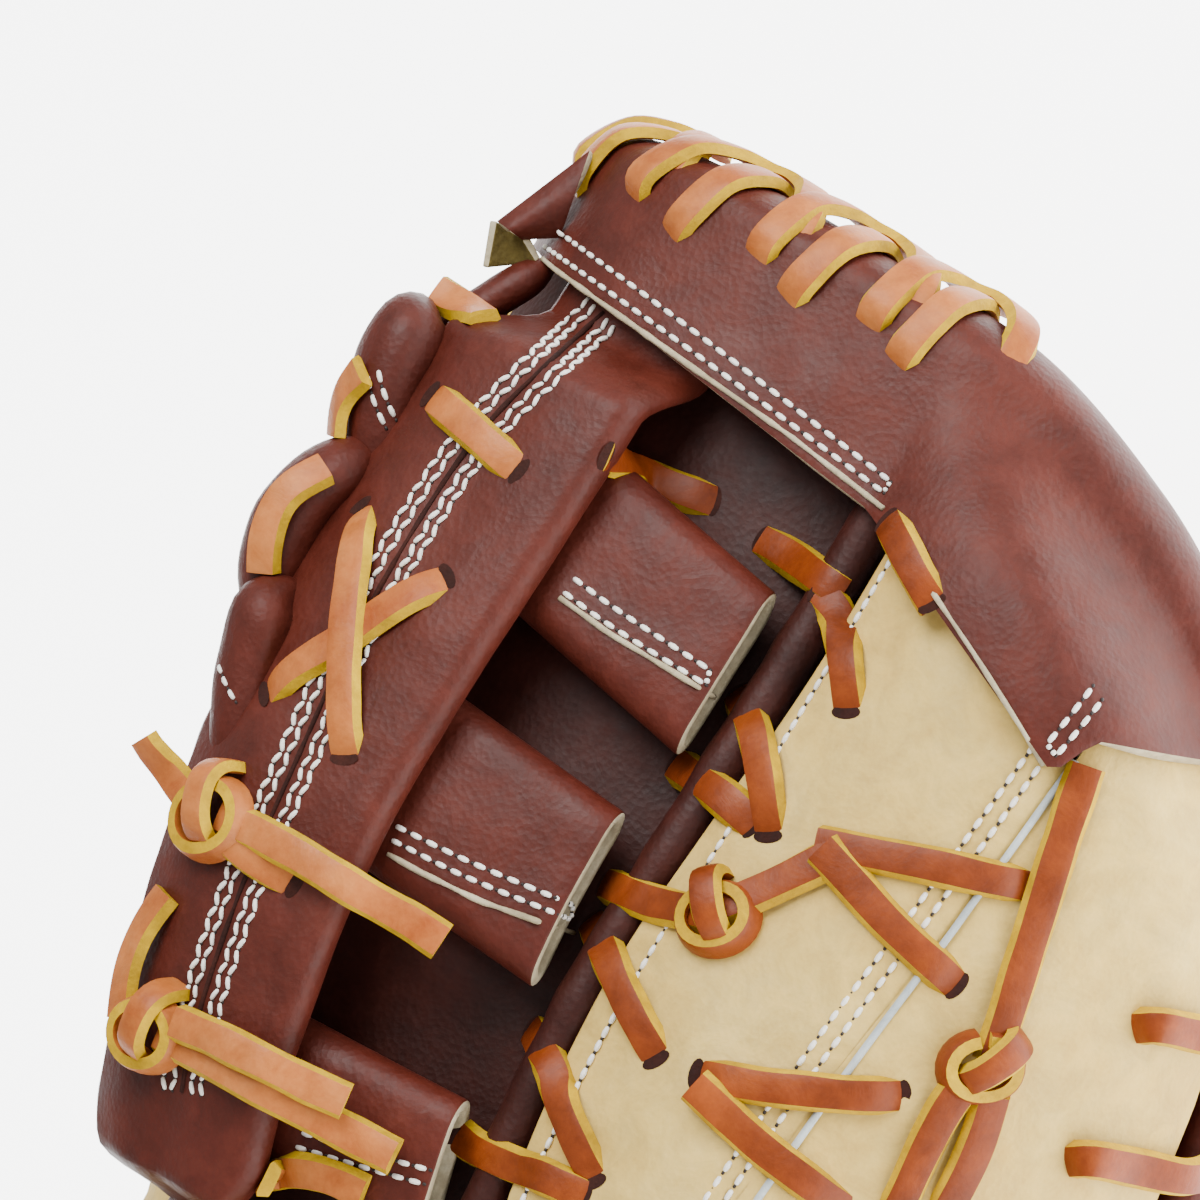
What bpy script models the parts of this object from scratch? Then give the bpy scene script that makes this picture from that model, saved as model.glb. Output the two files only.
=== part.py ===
# First baseman mitt for the left hand, resting palm down on its rim.
# The flat leather pattern has two coordinates in millimetres: s across, from the web's post,
# positive to the thumb, and y along, from the web's middle, positive to the tip.
# The pattern is folded over the table like a tent, and each piece lies at a height h above it.
import math

import bmesh
import bpy
import numpy as np
from mathutils import Vector

MM = 0.001

# Overall sizes of the flat pattern
THUMB_REACH = 127.0
FINGER_REACH = 158.0
TIP_REACH = 78.0
HEEL_REACH = 215.0
RIDGE_HEIGHT = 96.0
LIFT = 8.0

# Leather and padding
SHELL_THICK = 2.6
WEB_THICK = 3.0
PALM_THICK = 8.0
PALM_TOP = 3.0
SEAT_GAP = 0.35
SEAM_GAP = 1.2
CROTCH_GAP = 1.6

# Web
WEB_HALF = 46.0
CROTCH_Y = -88.0
BINDING_RADIUS = 3.5
BAR_DEPTH = 9.0
BAR_WALL = 2.0
BAR_LIFT = 4.4
BAR_END = 5.2
BAR_FLARE = 6.0
POST_WIDTH = 29.0
POST_DEPTH = 7.2
STRAP_THICK = 2.4
STRAP_GAP = 1.3

# Stalls
THUMB_RISE = 17.0
FINGER_RISE = 17.0
EDGE_RISE = 8.2
HAND_RISE = 33.0
GROOVE_DEPTH = 3.6
CAP_LIFT = 2.5
THUMB_SEAM = 0.44
THUMB_SEAM_LEAN = 0.0015
POST_TUCK = 0.42

# Opening for the hand
OPENING_Y = -142.0
WRIST_Y = -176.0
WRIST_WIDTH = 27.0
RIM_RADIUS = 4.2
RIM_CLEAR = 0.5

# Fold of the cross-section: share of the reach, slopes in degrees at the web's two ends (down to the thumb is negative)
FOLD = (
    {"across": -1.00, "tip_slope": 70.0, "heel_slope": 68.0},
    {"across": -0.30, "tip_slope": 56.0, "heel_slope": 58.0},
    {"across": -0.15, "tip_slope": 34.0, "heel_slope": 52.0},
    {"across": -0.06, "tip_slope": 4.0, "heel_slope": 36.0},
    {"across": 0.00, "tip_slope": -26.5, "heel_slope": -24.0},
    {"across": 0.40, "tip_slope": -49.0, "heel_slope": -49.0},
    {"across": 1.00, "tip_slope": -64.0, "heel_slope": -64.0},
)

# Lengthwise run: share of the reach along, height and half widths as shares of the middle's
RUN = (
    {"along": -1.00, "height": 0.50, "thumb": 0.56, "finger": 0.60},
    {"along": -0.70, "height": 0.70, "thumb": 0.78, "finger": 0.74},
    {"along": -0.41, "height": 0.87, "thumb": 0.96, "finger": 0.86},
    {"along": -0.26, "height": 0.98, "thumb": 1.00, "finger": 0.92},
    {"along": -0.12, "height": 1.02, "thumb": 1.00, "finger": 0.97},
    {"along": 0.00, "height": 1.00, "thumb": 1.00, "finger": 1.00},
    {"along": 0.64, "height": 0.93, "thumb": 1.00, "finger": 1.00},
    {"along": 1.00, "height": 0.90, "thumb": 0.99, "finger": 0.97},
)

# Top outline: share of the reach across, share of the tip's reach along
TOP_OUTLINE = (
    {"across": -1.00, "along": -0.20},
    {"across": -0.96, "along": 0.20},
    {"across": -0.86, "along": 0.55},
    {"across": -0.68, "along": 0.80},
    {"across": -0.45, "along": 0.93},
    {"across": 0.00, "along": 0.94},
    {"across": 0.40, "along": 0.88},
    {"across": 0.64, "along": 0.74},
    {"across": 0.84, "along": 0.50},
    {"across": 0.95, "along": 0.22},
    {"across": 1.00, "along": -0.10},
)

# Lower edge of the brown strap and thumb cap, same shares
STRAP_EDGE = (
    {"across": -0.16, "along": 0.74},
    {"across": 0.00, "along": 0.68},
    {"across": 0.36, "along": 0.57},
    {"across": 0.675, "along": 0.29},
    {"across": 0.70, "along": 0.38},
    {"across": 0.84, "along": 0.46},
)

# Bars of the web: width, and place along of their middle at the thumb and at the finger side, in mm
BARS = (
    {"name": "web_bar_top", "width": 27.0, "thumb_y": 14.5, "finger_y": 34.0},
    {"name": "web_bar_middle", "width": 27.0, "thumb_y": -23.0, "finger_y": -12.0},
    {"name": "web_bar_bottom", "width": 20.0, "thumb_y": -64.5, "finger_y": -64.5},
)

# Finger stalls: shares of the way from the web's finger edge to the outer rim
FINGERS = (
    {"name": "index_back", "start": 0.0, "end": 0.27},
    {"name": "middle_back", "start": 0.27, "end": 0.52},
    {"name": "ring_back", "start": 0.52, "end": 0.76},
    {"name": "pinky_back", "start": 0.76, "end": 1.0},
)

COLOURS = {
    "brown": (0.085, 0.026, 0.018, 1.0),
    "cream": (0.60, 0.47, 0.24, 1.0),
    "tan": (0.42, 0.13, 0.035, 1.0),
}


def ease(x):
    x = min(1.0, max(0.0, x))
    return x * x * (3.0 - 2.0 * x)


def read(table, key, value, x):
    """Smooth curve through a table's rows."""
    xs = [row[key] for row in table]
    ys = [row[value] for row in table]
    x = min(xs[-1], max(xs[0], x))
    i = max(0, min(len(xs) - 2, int(np.searchsorted(xs, x, side="right")) - 1))
    steps = [(ys[k + 1] - ys[k]) / (xs[k + 1] - xs[k]) for k in range(len(xs) - 1)]

    def tangent(k):
        if k == 0:
            return steps[0]
        if k == len(xs) - 1:
            return steps[-1]
        low, high = steps[k - 1], steps[k]
        return 0.0 if low * high <= 0 else 2.0 * low * high / (low + high)

    width = xs[i + 1] - xs[i]
    t = (x - xs[i]) / width
    return (
        (2 * t**3 - 3 * t**2 + 1) * ys[i]
        + (t**3 - 2 * t**2 + t) * width * tangent(i)
        + (3 * t**2 - 2 * t**3) * ys[i + 1]
        + (t**3 - t**2) * width * tangent(i + 1)
    )


def read_line(table, key, value, x):
    """Straight lines through a table's rows."""
    return float(np.interp(x, [row[key] for row in table], [row[value] for row in table]))


def across_share(s):
    return s / THUMB_REACH if s >= 0 else s / FINGER_REACH


def along_share(y):
    return y / TIP_REACH if y >= 0 else y / HEEL_REACH


def along_mm(share):
    return share * (TIP_REACH if share >= 0 else HEEL_REACH)


def fold_profile(slope):
    """Cross-section integrated from a column of slopes: rows of s, x, z."""
    step = 1.0
    low = int(-FINGER_REACH - 12)
    high = int(THUMB_REACH + 12)
    s_values = np.arange(low, high + 1, step)
    slopes = [math.radians(read_line(FOLD, "across", slope, across_share(s))) for s in s_values]
    x_values = np.concatenate([[0.0], np.cumsum([math.cos(a) * step for a in slopes[1:]])])
    z_values = np.concatenate([[0.0], np.cumsum([math.sin(a) * step for a in slopes[1:]])])
    x_values -= np.interp(0.0, s_values, x_values)
    z_values -= np.interp(0.0, s_values, z_values)
    rim_thumb = -np.interp(THUMB_REACH, s_values, z_values)
    rim_finger = -np.interp(-FINGER_REACH, s_values, z_values)
    drop = np.where(s_values >= 0, RIDGE_HEIGHT / rim_thumb, RIDGE_HEIGHT / rim_finger)
    return s_values, x_values, RIDGE_HEIGHT + z_values * drop


TIP_PROFILE = fold_profile("tip_slope")
HEEL_PROFILE = fold_profile("heel_slope")


def profile_at(s, y):
    """Cross-section's x and z before the lengthwise run: the ridge grows sharper to the heel."""
    heel = ease((12.0 - y) / 66.0)
    x_tip, z_tip = (np.interp(s, TIP_PROFILE[0], row) for row in TIP_PROFILE[1:])
    x_heel, z_heel = (np.interp(s, HEEL_PROFILE[0], row) for row in HEEL_PROFILE[1:])
    return x_tip + (x_heel - x_tip) * heel, z_tip + (z_heel - z_tip) * heel


def base_point(s, y):
    share = along_share(y)
    side = ease((s + 15.0) / 30.0)
    width = read(RUN, "along", "finger", share) * (1.0 - side) + read(RUN, "along", "thumb", share) * side
    x, z = profile_at(s, y)
    return np.array([x * width, y, z * read(RUN, "along", "height", share) + LIFT])


def normal_at(s, y):
    reach = 2.5
    side = base_point(s + reach, y) - base_point(s - reach, y)
    ahead = base_point(s, y + reach) - base_point(s, y - reach)
    normal = np.cross(side, ahead)
    return normal / np.linalg.norm(normal)


def place(s, y, h):
    return base_point(s, y) + normal_at(s, y) * h


def top_y(s):
    return along_mm(read(TOP_OUTLINE, "across", "along", across_share(s)))


def heel_y(s):
    return -HEEL_REACH + 34.0 * abs(across_share(s)) ** 4


def web_edge(y):
    """Half width of the web: a little narrower at the crotch."""
    return WEB_HALF - 5.0 * ease((10.0 - y) / 100.0)


def tip_close(s, y):
    """1 along a stall, falling to 0 at its tip."""
    return 1.0 - ease(1.0 - (top_y(s) - y) / 30.0) ** 2


def hand_share(y):
    """0 above the crotch, 1 over the back of the hand."""
    return ease((CROTCH_Y - 2.0 - y) / 38.0)


def back_rise(s, y):
    """Height of the outer back leather above the pattern."""
    hand = (HAND_RISE - EDGE_RISE) * hand_share(y)
    if abs(s) <= web_edge(y):
        return EDGE_RISE + hand
    if s > 0:
        t = (s - web_edge(y)) / (THUMB_REACH - web_edge(y))
        dome = THUMB_RISE * (1.0 - abs(2 * t - 1) ** 2.2)
    else:
        t = (-s - web_edge(y)) / (FINGER_REACH - web_edge(y))
        dome = FINGER_RISE * (1.0 - abs(2 * t - 1) ** 3.0)
        for finger in FINGERS[1:]:
            groove = math.exp(-(((t - finger["start"]) / 0.035) ** 2))
            dome -= GROOVE_DEPTH * groove * (1.0 - hand_share(y))
    t = min(1.0, max(0.0, t))
    return EDGE_RISE * (1.0 - 0.2 * t) + dome * tip_close(s, y) + hand * (1.0 - t) ** 1.6


def back_low_y(s):
    """Lower edge of the back leather, round the opening for the hand."""
    return OPENING_Y - 58.0 * ease((abs(across_share(s)) - 0.42) / 0.4)


def material(name):
    found = bpy.data.materials.get(name)
    if found:
        return found
    made = bpy.data.materials.new(name)
    made.use_nodes = True
    shader = made.node_tree.nodes["Principled BSDF"]
    shader.inputs["Base Color"].default_value = COLOURS[name]
    shader.inputs["Roughness"].default_value = 0.5
    shader.inputs["Metallic"].default_value = 0.0
    return made


def new_object(name, mesh, finish):
    mesh.materials.append(material(finish))
    mesh.shade_smooth()
    made = bpy.data.objects.new(name, mesh)
    MITT.objects.link(made)
    return made


def grid_mesh(name, rows, closed=False):
    """Mesh of quads through rows of points, closed across the row for a tube."""
    mesh = bmesh.new()
    verts = [[mesh.verts.new(np.array(p) * MM) for p in row] for row in rows]
    for low, high in zip(verts, verts[1:]):
        count = len(low) if closed else len(low) - 1
        for i in range(count):
            j = (i + 1) % len(low)
            mesh.faces.new((low[i], low[j], high[j], high[i]))
    bmesh.ops.recalc_face_normals(mesh, faces=mesh.faces)
    made = bpy.data.meshes.new(name)
    mesh.to_mesh(made)
    mesh.free()
    return made


def thicken(made, thickness, inward=True):
    solid = made.modifiers.new("leather", "SOLIDIFY")
    solid.thickness = thickness * MM
    solid.offset = -1.0 if inward else 1.0
    solid.use_even_offset = True
    return made


def facing_out(made):
    """Turns an open sheet so that its faces look away from the table."""
    mesh = bmesh.new()
    mesh.from_mesh(made.data)
    if sum(face.normal.z * face.calc_area() for face in mesh.faces) < 0:
        bmesh.ops.reverse_faces(mesh, faces=mesh.faces)
    mesh.to_mesh(made.data)
    mesh.free()
    return made


def sheet(name, s_range, y_range, rise, thickness, finish, counts, guide_s=0.0):
    """Leather between two pattern columns, whose ends follow y_range(s). Neighbours share the guide column."""
    across, along = counts
    rows = []
    for j in range(along + 1):
        row = []
        for i in range(across + 1):
            share = j / along
            guide = y_range(guide_s)
            y_mid = guide[0] + (guide[1] - guide[0]) * share
            s_low, s_high = s_range(y_mid)
            s = s_low + (s_high - s_low) * i / across
            y_low, y_high = y_range(s)
            y = y_low + (y_high - y_low) * share
            row.append(place(s, y, rise(s, y)))
        rows.append(row)
    made = new_object(name, grid_mesh(name, rows), finish)
    return thicken(facing_out(made), thickness)


def tube(name, points, radius, finish):
    """Round roll of leather along a line of points."""
    curve = bpy.data.curves.new(name, "CURVE")
    curve.dimensions = "3D"
    curve.bevel_depth = radius * MM
    curve.bevel_resolution = 1
    curve.use_fill_caps = True
    line = curve.splines.new("POLY")
    line.points.add(len(points) - 1)
    for point, place_mm in zip(line.points, points):
        point.co = (*[float(v) * MM for v in place_mm], 1.0)
    curve.materials.append(material(finish))
    made = bpy.data.objects.new(name, curve)
    MITT.objects.link(made)
    return made


def capped_loft(name, rings, finish):
    """Solid through closed rings of points, with a flat face at each end."""
    made = new_object(name, grid_mesh(name, rings, closed=True), finish)
    mesh = bmesh.new()
    mesh.from_mesh(made.data)
    bmesh.ops.holes_fill(mesh, edges=[edge for edge in mesh.edges if edge.is_boundary])
    bmesh.ops.recalc_face_normals(mesh, faces=mesh.faces)
    mesh.to_mesh(made.data)
    mesh.free()
    return made


def oval(width, depth, count=14, parts=1):
    """Flat oval section with round ends, as offsets along the width and the depth."""
    radius = depth / 2
    flat = width / 2 - radius
    points = []
    for side in (1, -1):
        for k in range(count // 2):
            angle = math.pi * (k + 0.5) / (count // 2) - math.pi / 2
            points.append((side * (flat + radius * math.cos(angle)), side * radius * math.sin(angle)))
        for k in range(1, parts):
            points.append((side * flat * (1.0 - 2.0 * k / parts), side * radius))
    return points


def palm():
    """Padded palm leather from heel to tips, open at the web."""
    mesh = bmesh.new()
    edge = web_edge(CROTCH_Y)
    inner_rows = 9
    below = [-1.0, -0.9, -0.75, -0.6, -0.45, -0.33]
    s_columns = [share * FINGER_REACH for share in below]
    s_columns += [-edge, -edge * 0.5, 0.0, edge * 0.5, edge]
    s_columns += [share * THUMB_REACH for share in (0.5, 0.65, 0.8, 0.93, 1.0)]
    grid = {}

    def vert(s, y, key):
        if key not in grid:
            grid[key] = mesh.verts.new(place(s, y, PALM_TOP) * MM)
        return grid[key]

    crotch = CROTCH_Y - 2 * CROTCH_GAP
    for i, s in enumerate(s_columns):
        for j in range(inner_rows + 1):
            low = heel_y(s)
            vert(s, low + (crotch - low) * j / inner_rows, (i, j))
    for i in range(len(s_columns) - 1):
        for j in range(inner_rows):
            mesh.faces.new((grid[i, j], grid[i + 1, j], grid[i + 1, j + 1], grid[i, j + 1]))
    upper_rows = 10
    sides = ((0, 6), (10, len(s_columns) - 1))
    for first, last in sides:
        for i in range(first, last + 1):
            for j in range(1, upper_rows + 1):
                share = j / upper_rows
                s = s_columns[i]
                y = crotch + (top_y(s) - crotch) * share
                if abs(s) <= edge + 0.01:
                    s = math.copysign(web_edge(y), s)
                    y = crotch + (top_y(s) - crotch) * share
                vert(s, y, (i, inner_rows + j))
        for i in range(first, last):
            for j in range(inner_rows, inner_rows + upper_rows):
                mesh.faces.new((grid[i, j], grid[i + 1, j], grid[i + 1, j + 1], grid[i, j + 1]))
    made = bpy.data.meshes.new("palm")
    mesh.to_mesh(made)
    mesh.free()
    return thicken(facing_out(new_object("palm", made, "brown")), PALM_THICK)


def web_sheet():
    """Single leather that closes the web on the pocket side."""
    low = CROTCH_Y - CROTCH_GAP

    def s_range(y):
        half = web_edge(y) - CROTCH_GAP / 2
        return -half, half

    def y_range(s):
        return low, top_y(s) - 1.0

    return sheet("web_sheet", s_range, y_range, lambda s, y: 0.0, WEB_THICK, "brown", (12, 12))


def web_bar(row):
    """Strip of leather folded into a flat tube across the web, puffed open at the finger side."""
    rings = []
    steps = 16
    low = -(web_edge(row["finger_y"]) - BAR_END)
    high = web_edge(row["thumb_y"] - row["width"] / 2) - BAR_END
    for k in range(steps + 1):
        share = k / steps
        s = low + (high - low) * share
        y = row["finger_y"] + (row["thumb_y"] - row["finger_y"]) * share
        depth = BAR_DEPTH + BAR_FLARE * ease((-POST_WIDTH / 2 - 8.0 - s) / 12.0)
        section = oval(row["width"], depth)
        rings.append([place(s, y + dy, BAR_LIFT + depth / 2 + dh) for dy, dh in section])
    made = new_object(row["name"], grid_mesh(row["name"], rings, closed=True), "brown")
    return thicken(made, BAR_WALL)


def post_middle(y):
    """Height of the post's middle: over the bars, then under the strap and down to the crotch."""
    over = BAR_LIFT + BAR_DEPTH + SEAT_GAP + POST_DEPTH / 2
    under = POST_DEPTH / 2 + 1.0
    below = BARS[-1]["thumb_y"] - BARS[-1]["width"] / 2 - 4.0
    above = (BARS[0]["thumb_y"] + BARS[0]["finger_y"] + BARS[0]["width"]) / 2 + 2.0
    lowered = max(ease((y - above) / 11.0), ease((below - y) / 10.0))
    return over + (under - over) * lowered


def web_post():
    """Folded strip down the middle of the web, outside the bars."""
    section = oval(POST_WIDTH, POST_DEPTH, 10, 5)
    top = top_y(0.0) - 5.0
    low = CROTCH_Y + 1.5
    rings = []
    steps = 24
    for k in range(steps + 1):
        y = low + (top - low) * k / steps
        narrow = 1.0 - 0.35 * ease(1.0 - (y - low) / 14.0)
        tuck = 1.0 - POST_TUCK * ease((2.0 - y) / 50.0)
        rings.append([place(ds * narrow * (tuck if ds < 0 else 1.0), y, post_middle(y) + dh) for ds, dh in section])
    return capped_loft("web_post", rings, "brown")


def strap_rise(s, y):
    """Outer face of the top strap and thumb cap."""
    flat = post_middle(TIP_REACH) + POST_DEPTH / 2 + STRAP_GAP + STRAP_THICK
    over_thumb = back_rise(s, y) + CAP_LIFT + STRAP_THICK
    blend = ease((s - web_edge(y) * 0.7) / 18.0)
    return max(flat, flat + (over_thumb - flat) * blend)


def top_strap():
    """Leather folded over the top of the web that runs on as a cap over the thumb's tip."""
    s_values = [-30.0, -20.0, -10.0, 0.0, 10.0, 20.0, 30.0, 40.0, 50.0, 60.0, 68.0]
    s_values += [77.0, 85.0, 94.0, 100.0, 105.0, 110.0]
    back_rows, crest_rows, front_rows = 5, 6, 3
    front_h = -WEB_THICK - STRAP_GAP - STRAP_THICK
    palm_h = PALM_TOP - PALM_THICK - STRAP_GAP - STRAP_THICK
    rows = []
    for s in s_values:
        low = along_mm(read_line(STRAP_EDGE, "across", "along", across_share(s)))
        turn = top_y(s) + 0.6
        side = ease((s - WEB_HALF + 8.0) / 8.0)
        inner = front_h + (palm_h - front_h) * side
        outer = strap_rise(s, turn - 2.0)
        row = []
        for j in range(back_rows + 1):
            y = low + (turn - low) * j / back_rows
            row.append(place(s, y, strap_rise(s, min(y, turn - 2.0))))
        middle = (outer + inner) / 2
        radius = (outer - inner) / 2
        for j in range(1, crest_rows):
            angle = math.pi / 2 - math.pi * j / crest_rows
            y = turn + 0.75 * radius * math.cos(angle)
            row.append(place(s, y, middle + radius * math.sin(angle)))
        depth = min(20.0, turn - low)
        for j in range(front_rows + 1):
            row.append(place(s, turn - depth * j / front_rows, inner))
        rows.append(row)
    made = new_object("web_top_strap", grid_mesh("web_top_strap", rows), "brown")
    return thicken(facing_out(made), STRAP_THICK)


def web_binding():
    """Rolled leather round the web's edges, from the finger's tip by the crotch to the thumb's tip."""
    rise = PALM_TOP + SEAT_GAP + BINDING_RADIUS
    points = []
    corner = 12.0
    top = along_mm(0.60)

    def side(y, sign):
        s = (web_edge(y) + 0.8) * sign
        return place(s, y, rise)

    steps = 14
    for k in range(steps + 1):
        y = top + (CROTCH_Y + corner - top) * k / steps
        points.append(side(y, -1))
    edge = web_edge(CROTCH_Y) + 0.8
    centre_y = CROTCH_Y - 5.4 + corner
    for k in range(1, 5):
        angle = math.pi + math.pi / 2 * k / 5
        s = -edge + corner + corner * math.cos(angle)
        points.append(place(s, centre_y + corner * math.sin(angle), rise))
    for k in range(7):
        s = (-edge + corner) + 2 * (edge - corner) * k / 6
        points.append(place(s, centre_y - corner, rise))
    for k in range(1, 5):
        angle = 1.5 * math.pi + math.pi / 2 * k / 5
        s = edge - corner + corner * math.cos(angle)
        points.append(place(s, centre_y + corner * math.sin(angle), rise))
    for k in range(steps + 1):
        y = CROTCH_Y + corner + (top - CROTCH_Y - corner) * k / steps
        points.append(side(y, 1))
    return tube("web_edge_binding", points, BINDING_RADIUS, "brown")


def panel_y(s):
    return back_low_y(s), top_y(s) - 4.0


def panel_edge(y):
    return web_edge(y) + BINDING_RADIUS + 1.4


def back_panel(name, start, end, sign, counts):
    """Back leather of one stall between two shares of the way from the web to the rim."""
    reach = THUMB_REACH if sign > 0 else FINGER_REACH

    def s_range(y):
        inner = panel_edge(y)
        lean = THUMB_SEAM_LEAN * max(y, 1.6 * CROTCH_Y) if sign > 0 else 0.0
        low = inner + (reach - inner) * (start + lean) + SEAM_GAP / 2 if start > 0 else inner
        high = inner + (reach - inner) * (end + lean) - SEAM_GAP / 2 if end < 1 else reach
        return sign * low, sign * high

    guide_s = sign * (panel_edge(0.0) + reach) / 2
    return sheet(name, s_range, panel_y, back_rise, SHELL_THICK, "cream", counts, guide_s)


def hand_back():
    """Back leather between thumb and fingers, from the crotch to the opening for the hand."""

    def s_range(y):
        half = panel_edge(CROTCH_Y) - SEAM_GAP
        return -half, half

    def y_range(s):
        return back_low_y(s), CROTCH_Y - 5.4 - BINDING_RADIUS - 1.0

    return sheet("hand_back", s_range, y_range, back_rise, SHELL_THICK, "cream", (10, 7))


def wrist_strap():
    """Band across the back of the wrist."""

    def s_range(y):
        return -0.66 * FINGER_REACH, 0.68 * THUMB_REACH

    def y_range(s):
        return WRIST_Y - WRIST_WIDTH / 2, WRIST_Y + WRIST_WIDTH / 2

    def rise(s, y):
        return back_rise(s, y) + SHELL_THICK + SEAT_GAP * 2

    return sheet("wrist_strap", s_range, y_range, rise, SHELL_THICK, "brown", (20, 3))


def rim_line():
    """Pattern points of the palm's outer edge, from the thumb's tip round the heel to the fingers' tips."""
    line = [(share * THUMB_REACH, top_y(share * THUMB_REACH)) for share in np.linspace(0.86, 1.0, 7)]
    side_steps = 14
    for reach, shares in ((THUMB_REACH, range(1, side_steps)), (-FINGER_REACH, range(side_steps - 1, 0, -1))):
        if reach < 0:
            heel = [share * (THUMB_REACH if share > 0 else FINGER_REACH) for share in np.linspace(1.0, -1.0, 23)]
            line += [(s, heel_y(s)) for s in heel]
        line += [(reach, top_y(reach) + (heel_y(reach) - top_y(reach)) * k / side_steps) for k in shares]
    line += [(-share * FINGER_REACH, top_y(-share * FINGER_REACH)) for share in np.linspace(1.0, 0.30, 16)]
    return line


def rim_points(radius, h):
    """The rim line in space, moved out so that a roll of this radius clears the palm's edge."""
    line = rim_line()
    seats = [place(s, y, h) for s, y in line]
    points = []
    for k, (s, y) in enumerate(line):
        run = seats[min(k + 1, len(seats) - 1)] - seats[max(k - 1, 0)]
        out = np.cross(normal_at(s, y), run)
        points.append(seats[k] + out / np.linalg.norm(out) * (radius + RIM_CLEAR))
    return points


def as_mesh(made):
    """The curve as a closed mesh object, with its caps welded."""
    depsgraph = bpy.context.evaluated_depsgraph_get()
    mesh = bpy.data.meshes.new_from_object(made.evaluated_get(depsgraph))
    welded = bmesh.new()
    welded.from_mesh(mesh)
    bmesh.ops.remove_doubles(welded, verts=welded.verts, dist=0.00001)
    welded.to_mesh(mesh)
    welded.free()
    name = made.name
    bpy.data.objects.remove(made)
    solid = bpy.data.objects.new(name, mesh)
    MITT.objects.link(solid)
    return solid


def rest_flat(made):
    """Presses the roll flat where the mitt rests."""
    bpy.ops.mesh.primitive_cube_add(size=1.0, location=(0.0, 0.0, -0.05))
    block = bpy.context.object
    block.name = "table_block"
    block.scale = (1.0, 1.0, 0.1)
    block.hide_render = True
    block.display_type = "WIRE"
    cut = made.modifiers.new("rest", "BOOLEAN")
    cut.operation = "DIFFERENCE"
    cut.object = block


def rim_binding():
    """Rolled leather along the outer rim."""
    made = tube("rim_binding", rim_points(RIM_RADIUS, PALM_TOP - PALM_THICK / 2), RIM_RADIUS, "brown")
    rest_flat(as_mesh(made))


def stand_at_origin():
    """Moves the mitt so that the middle of its base is the origin."""
    bpy.context.view_layer.update()
    corners = [made.matrix_world @ Vector(corner) for made in MITT.objects for corner in made.bound_box]
    middle = [(min(c[axis] for c in corners) + max(c[axis] for c in corners)) / 2 for axis in (0, 1)]
    for made in MITT.objects:
        made.location = (-middle[0], -middle[1], 0.0)


def clear_scene():
    for found in list(bpy.data.objects):
        bpy.data.objects.remove(found)
    made = bpy.data.collections.new("first_baseman_mitt")
    bpy.context.scene.collection.children.link(made)
    return made


MITT = clear_scene()


def main():
    palm()
    web_sheet()
    for row in BARS:
        web_bar(row)
    web_post()
    top_strap()
    web_binding()
    back_panel("thumb_inner_back", 0.0, THUMB_SEAM, 1, (6, 14))
    back_panel("thumb_outer_back", THUMB_SEAM, 1.0, 1, (6, 14))
    for finger in FINGERS:
        back_panel(finger["name"], finger["start"], finger["end"], -1, (5, 14))
    hand_back()
    wrist_strap()
    rim_binding()
    stand_at_origin()


main()
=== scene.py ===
import math
import bpy
import bmesh
import numpy as np
from mathutils import Matrix, Vector, noise
from mathutils.bvhtree import BVHTree


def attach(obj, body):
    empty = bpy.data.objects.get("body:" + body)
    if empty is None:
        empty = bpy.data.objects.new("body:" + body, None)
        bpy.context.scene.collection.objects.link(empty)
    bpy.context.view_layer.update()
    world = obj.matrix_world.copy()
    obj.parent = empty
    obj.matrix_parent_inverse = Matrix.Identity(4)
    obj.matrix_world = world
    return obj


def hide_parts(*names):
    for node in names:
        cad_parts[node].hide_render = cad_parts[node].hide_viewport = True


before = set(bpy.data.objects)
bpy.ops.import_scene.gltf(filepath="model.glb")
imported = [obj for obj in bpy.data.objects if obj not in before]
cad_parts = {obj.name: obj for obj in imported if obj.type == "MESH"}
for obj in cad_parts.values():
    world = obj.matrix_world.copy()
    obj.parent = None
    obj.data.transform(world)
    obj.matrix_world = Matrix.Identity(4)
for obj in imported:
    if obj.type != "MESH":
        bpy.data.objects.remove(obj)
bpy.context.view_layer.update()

mm = 0.001

# Flat leather pattern in millimetres: s across (thumb positive), y along (tip positive), h above it
pattern = {
    "thumbReach": 127.0, "fingerReach": 158.0, "tipReach": 78.0, "heelReach": 215.0,
    "ridgeHeight": 96.0, "lift": 8.0, "webHalf": 46.0, "crotchY": -88.0, "crotchGap": 1.6,
    "shiftX": 5.4, "shiftY": 70.8,            # puts the middle of the base at the origin, as in the frame
}
leather = {"shell": 2.6, "web": 3.0, "palm": 8.0, "palmTop": 3.0, "seatGap": 0.35, "seamGap": 1.2}
foldTable = (                                 # share of the reach, slopes at the web's two ends
    (-1.00, 70.0, 68.0), (-0.30, 56.0, 58.0), (-0.15, 34.0, 52.0), (-0.06, 4.0, 36.0),
    (0.00, -26.5, -24.0), (0.40, -49.0, -49.0), (1.00, -64.0, -64.0),
)
runTable = (                                  # share along, height, thumb width, finger width
    (-1.00, 0.50, 0.56, 0.60), (-0.70, 0.70, 0.78, 0.74), (-0.41, 0.87, 0.96, 0.86), (-0.26, 0.98, 1.00, 0.92),
    (-0.12, 1.02, 1.00, 0.97), (0.00, 1.00, 1.00, 1.00), (0.64, 0.93, 1.00, 1.00), (1.00, 0.90, 0.99, 0.97),
)
topOutline = (                                # share across, share of the tip's reach
    (-1.00, -0.20), (-0.96, 0.20), (-0.86, 0.55), (-0.68, 0.80), (-0.45, 0.93), (0.00, 0.94),
    (0.40, 0.88), (0.64, 0.74), (0.84, 0.50), (0.95, 0.22), (1.00, -0.10),
)
fingerStarts = (0.27, 0.52, 0.76)


def ease(x):
    x = min(1.0, max(0.0, x))
    return x * x * (3.0 - 2.0 * x)


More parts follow.
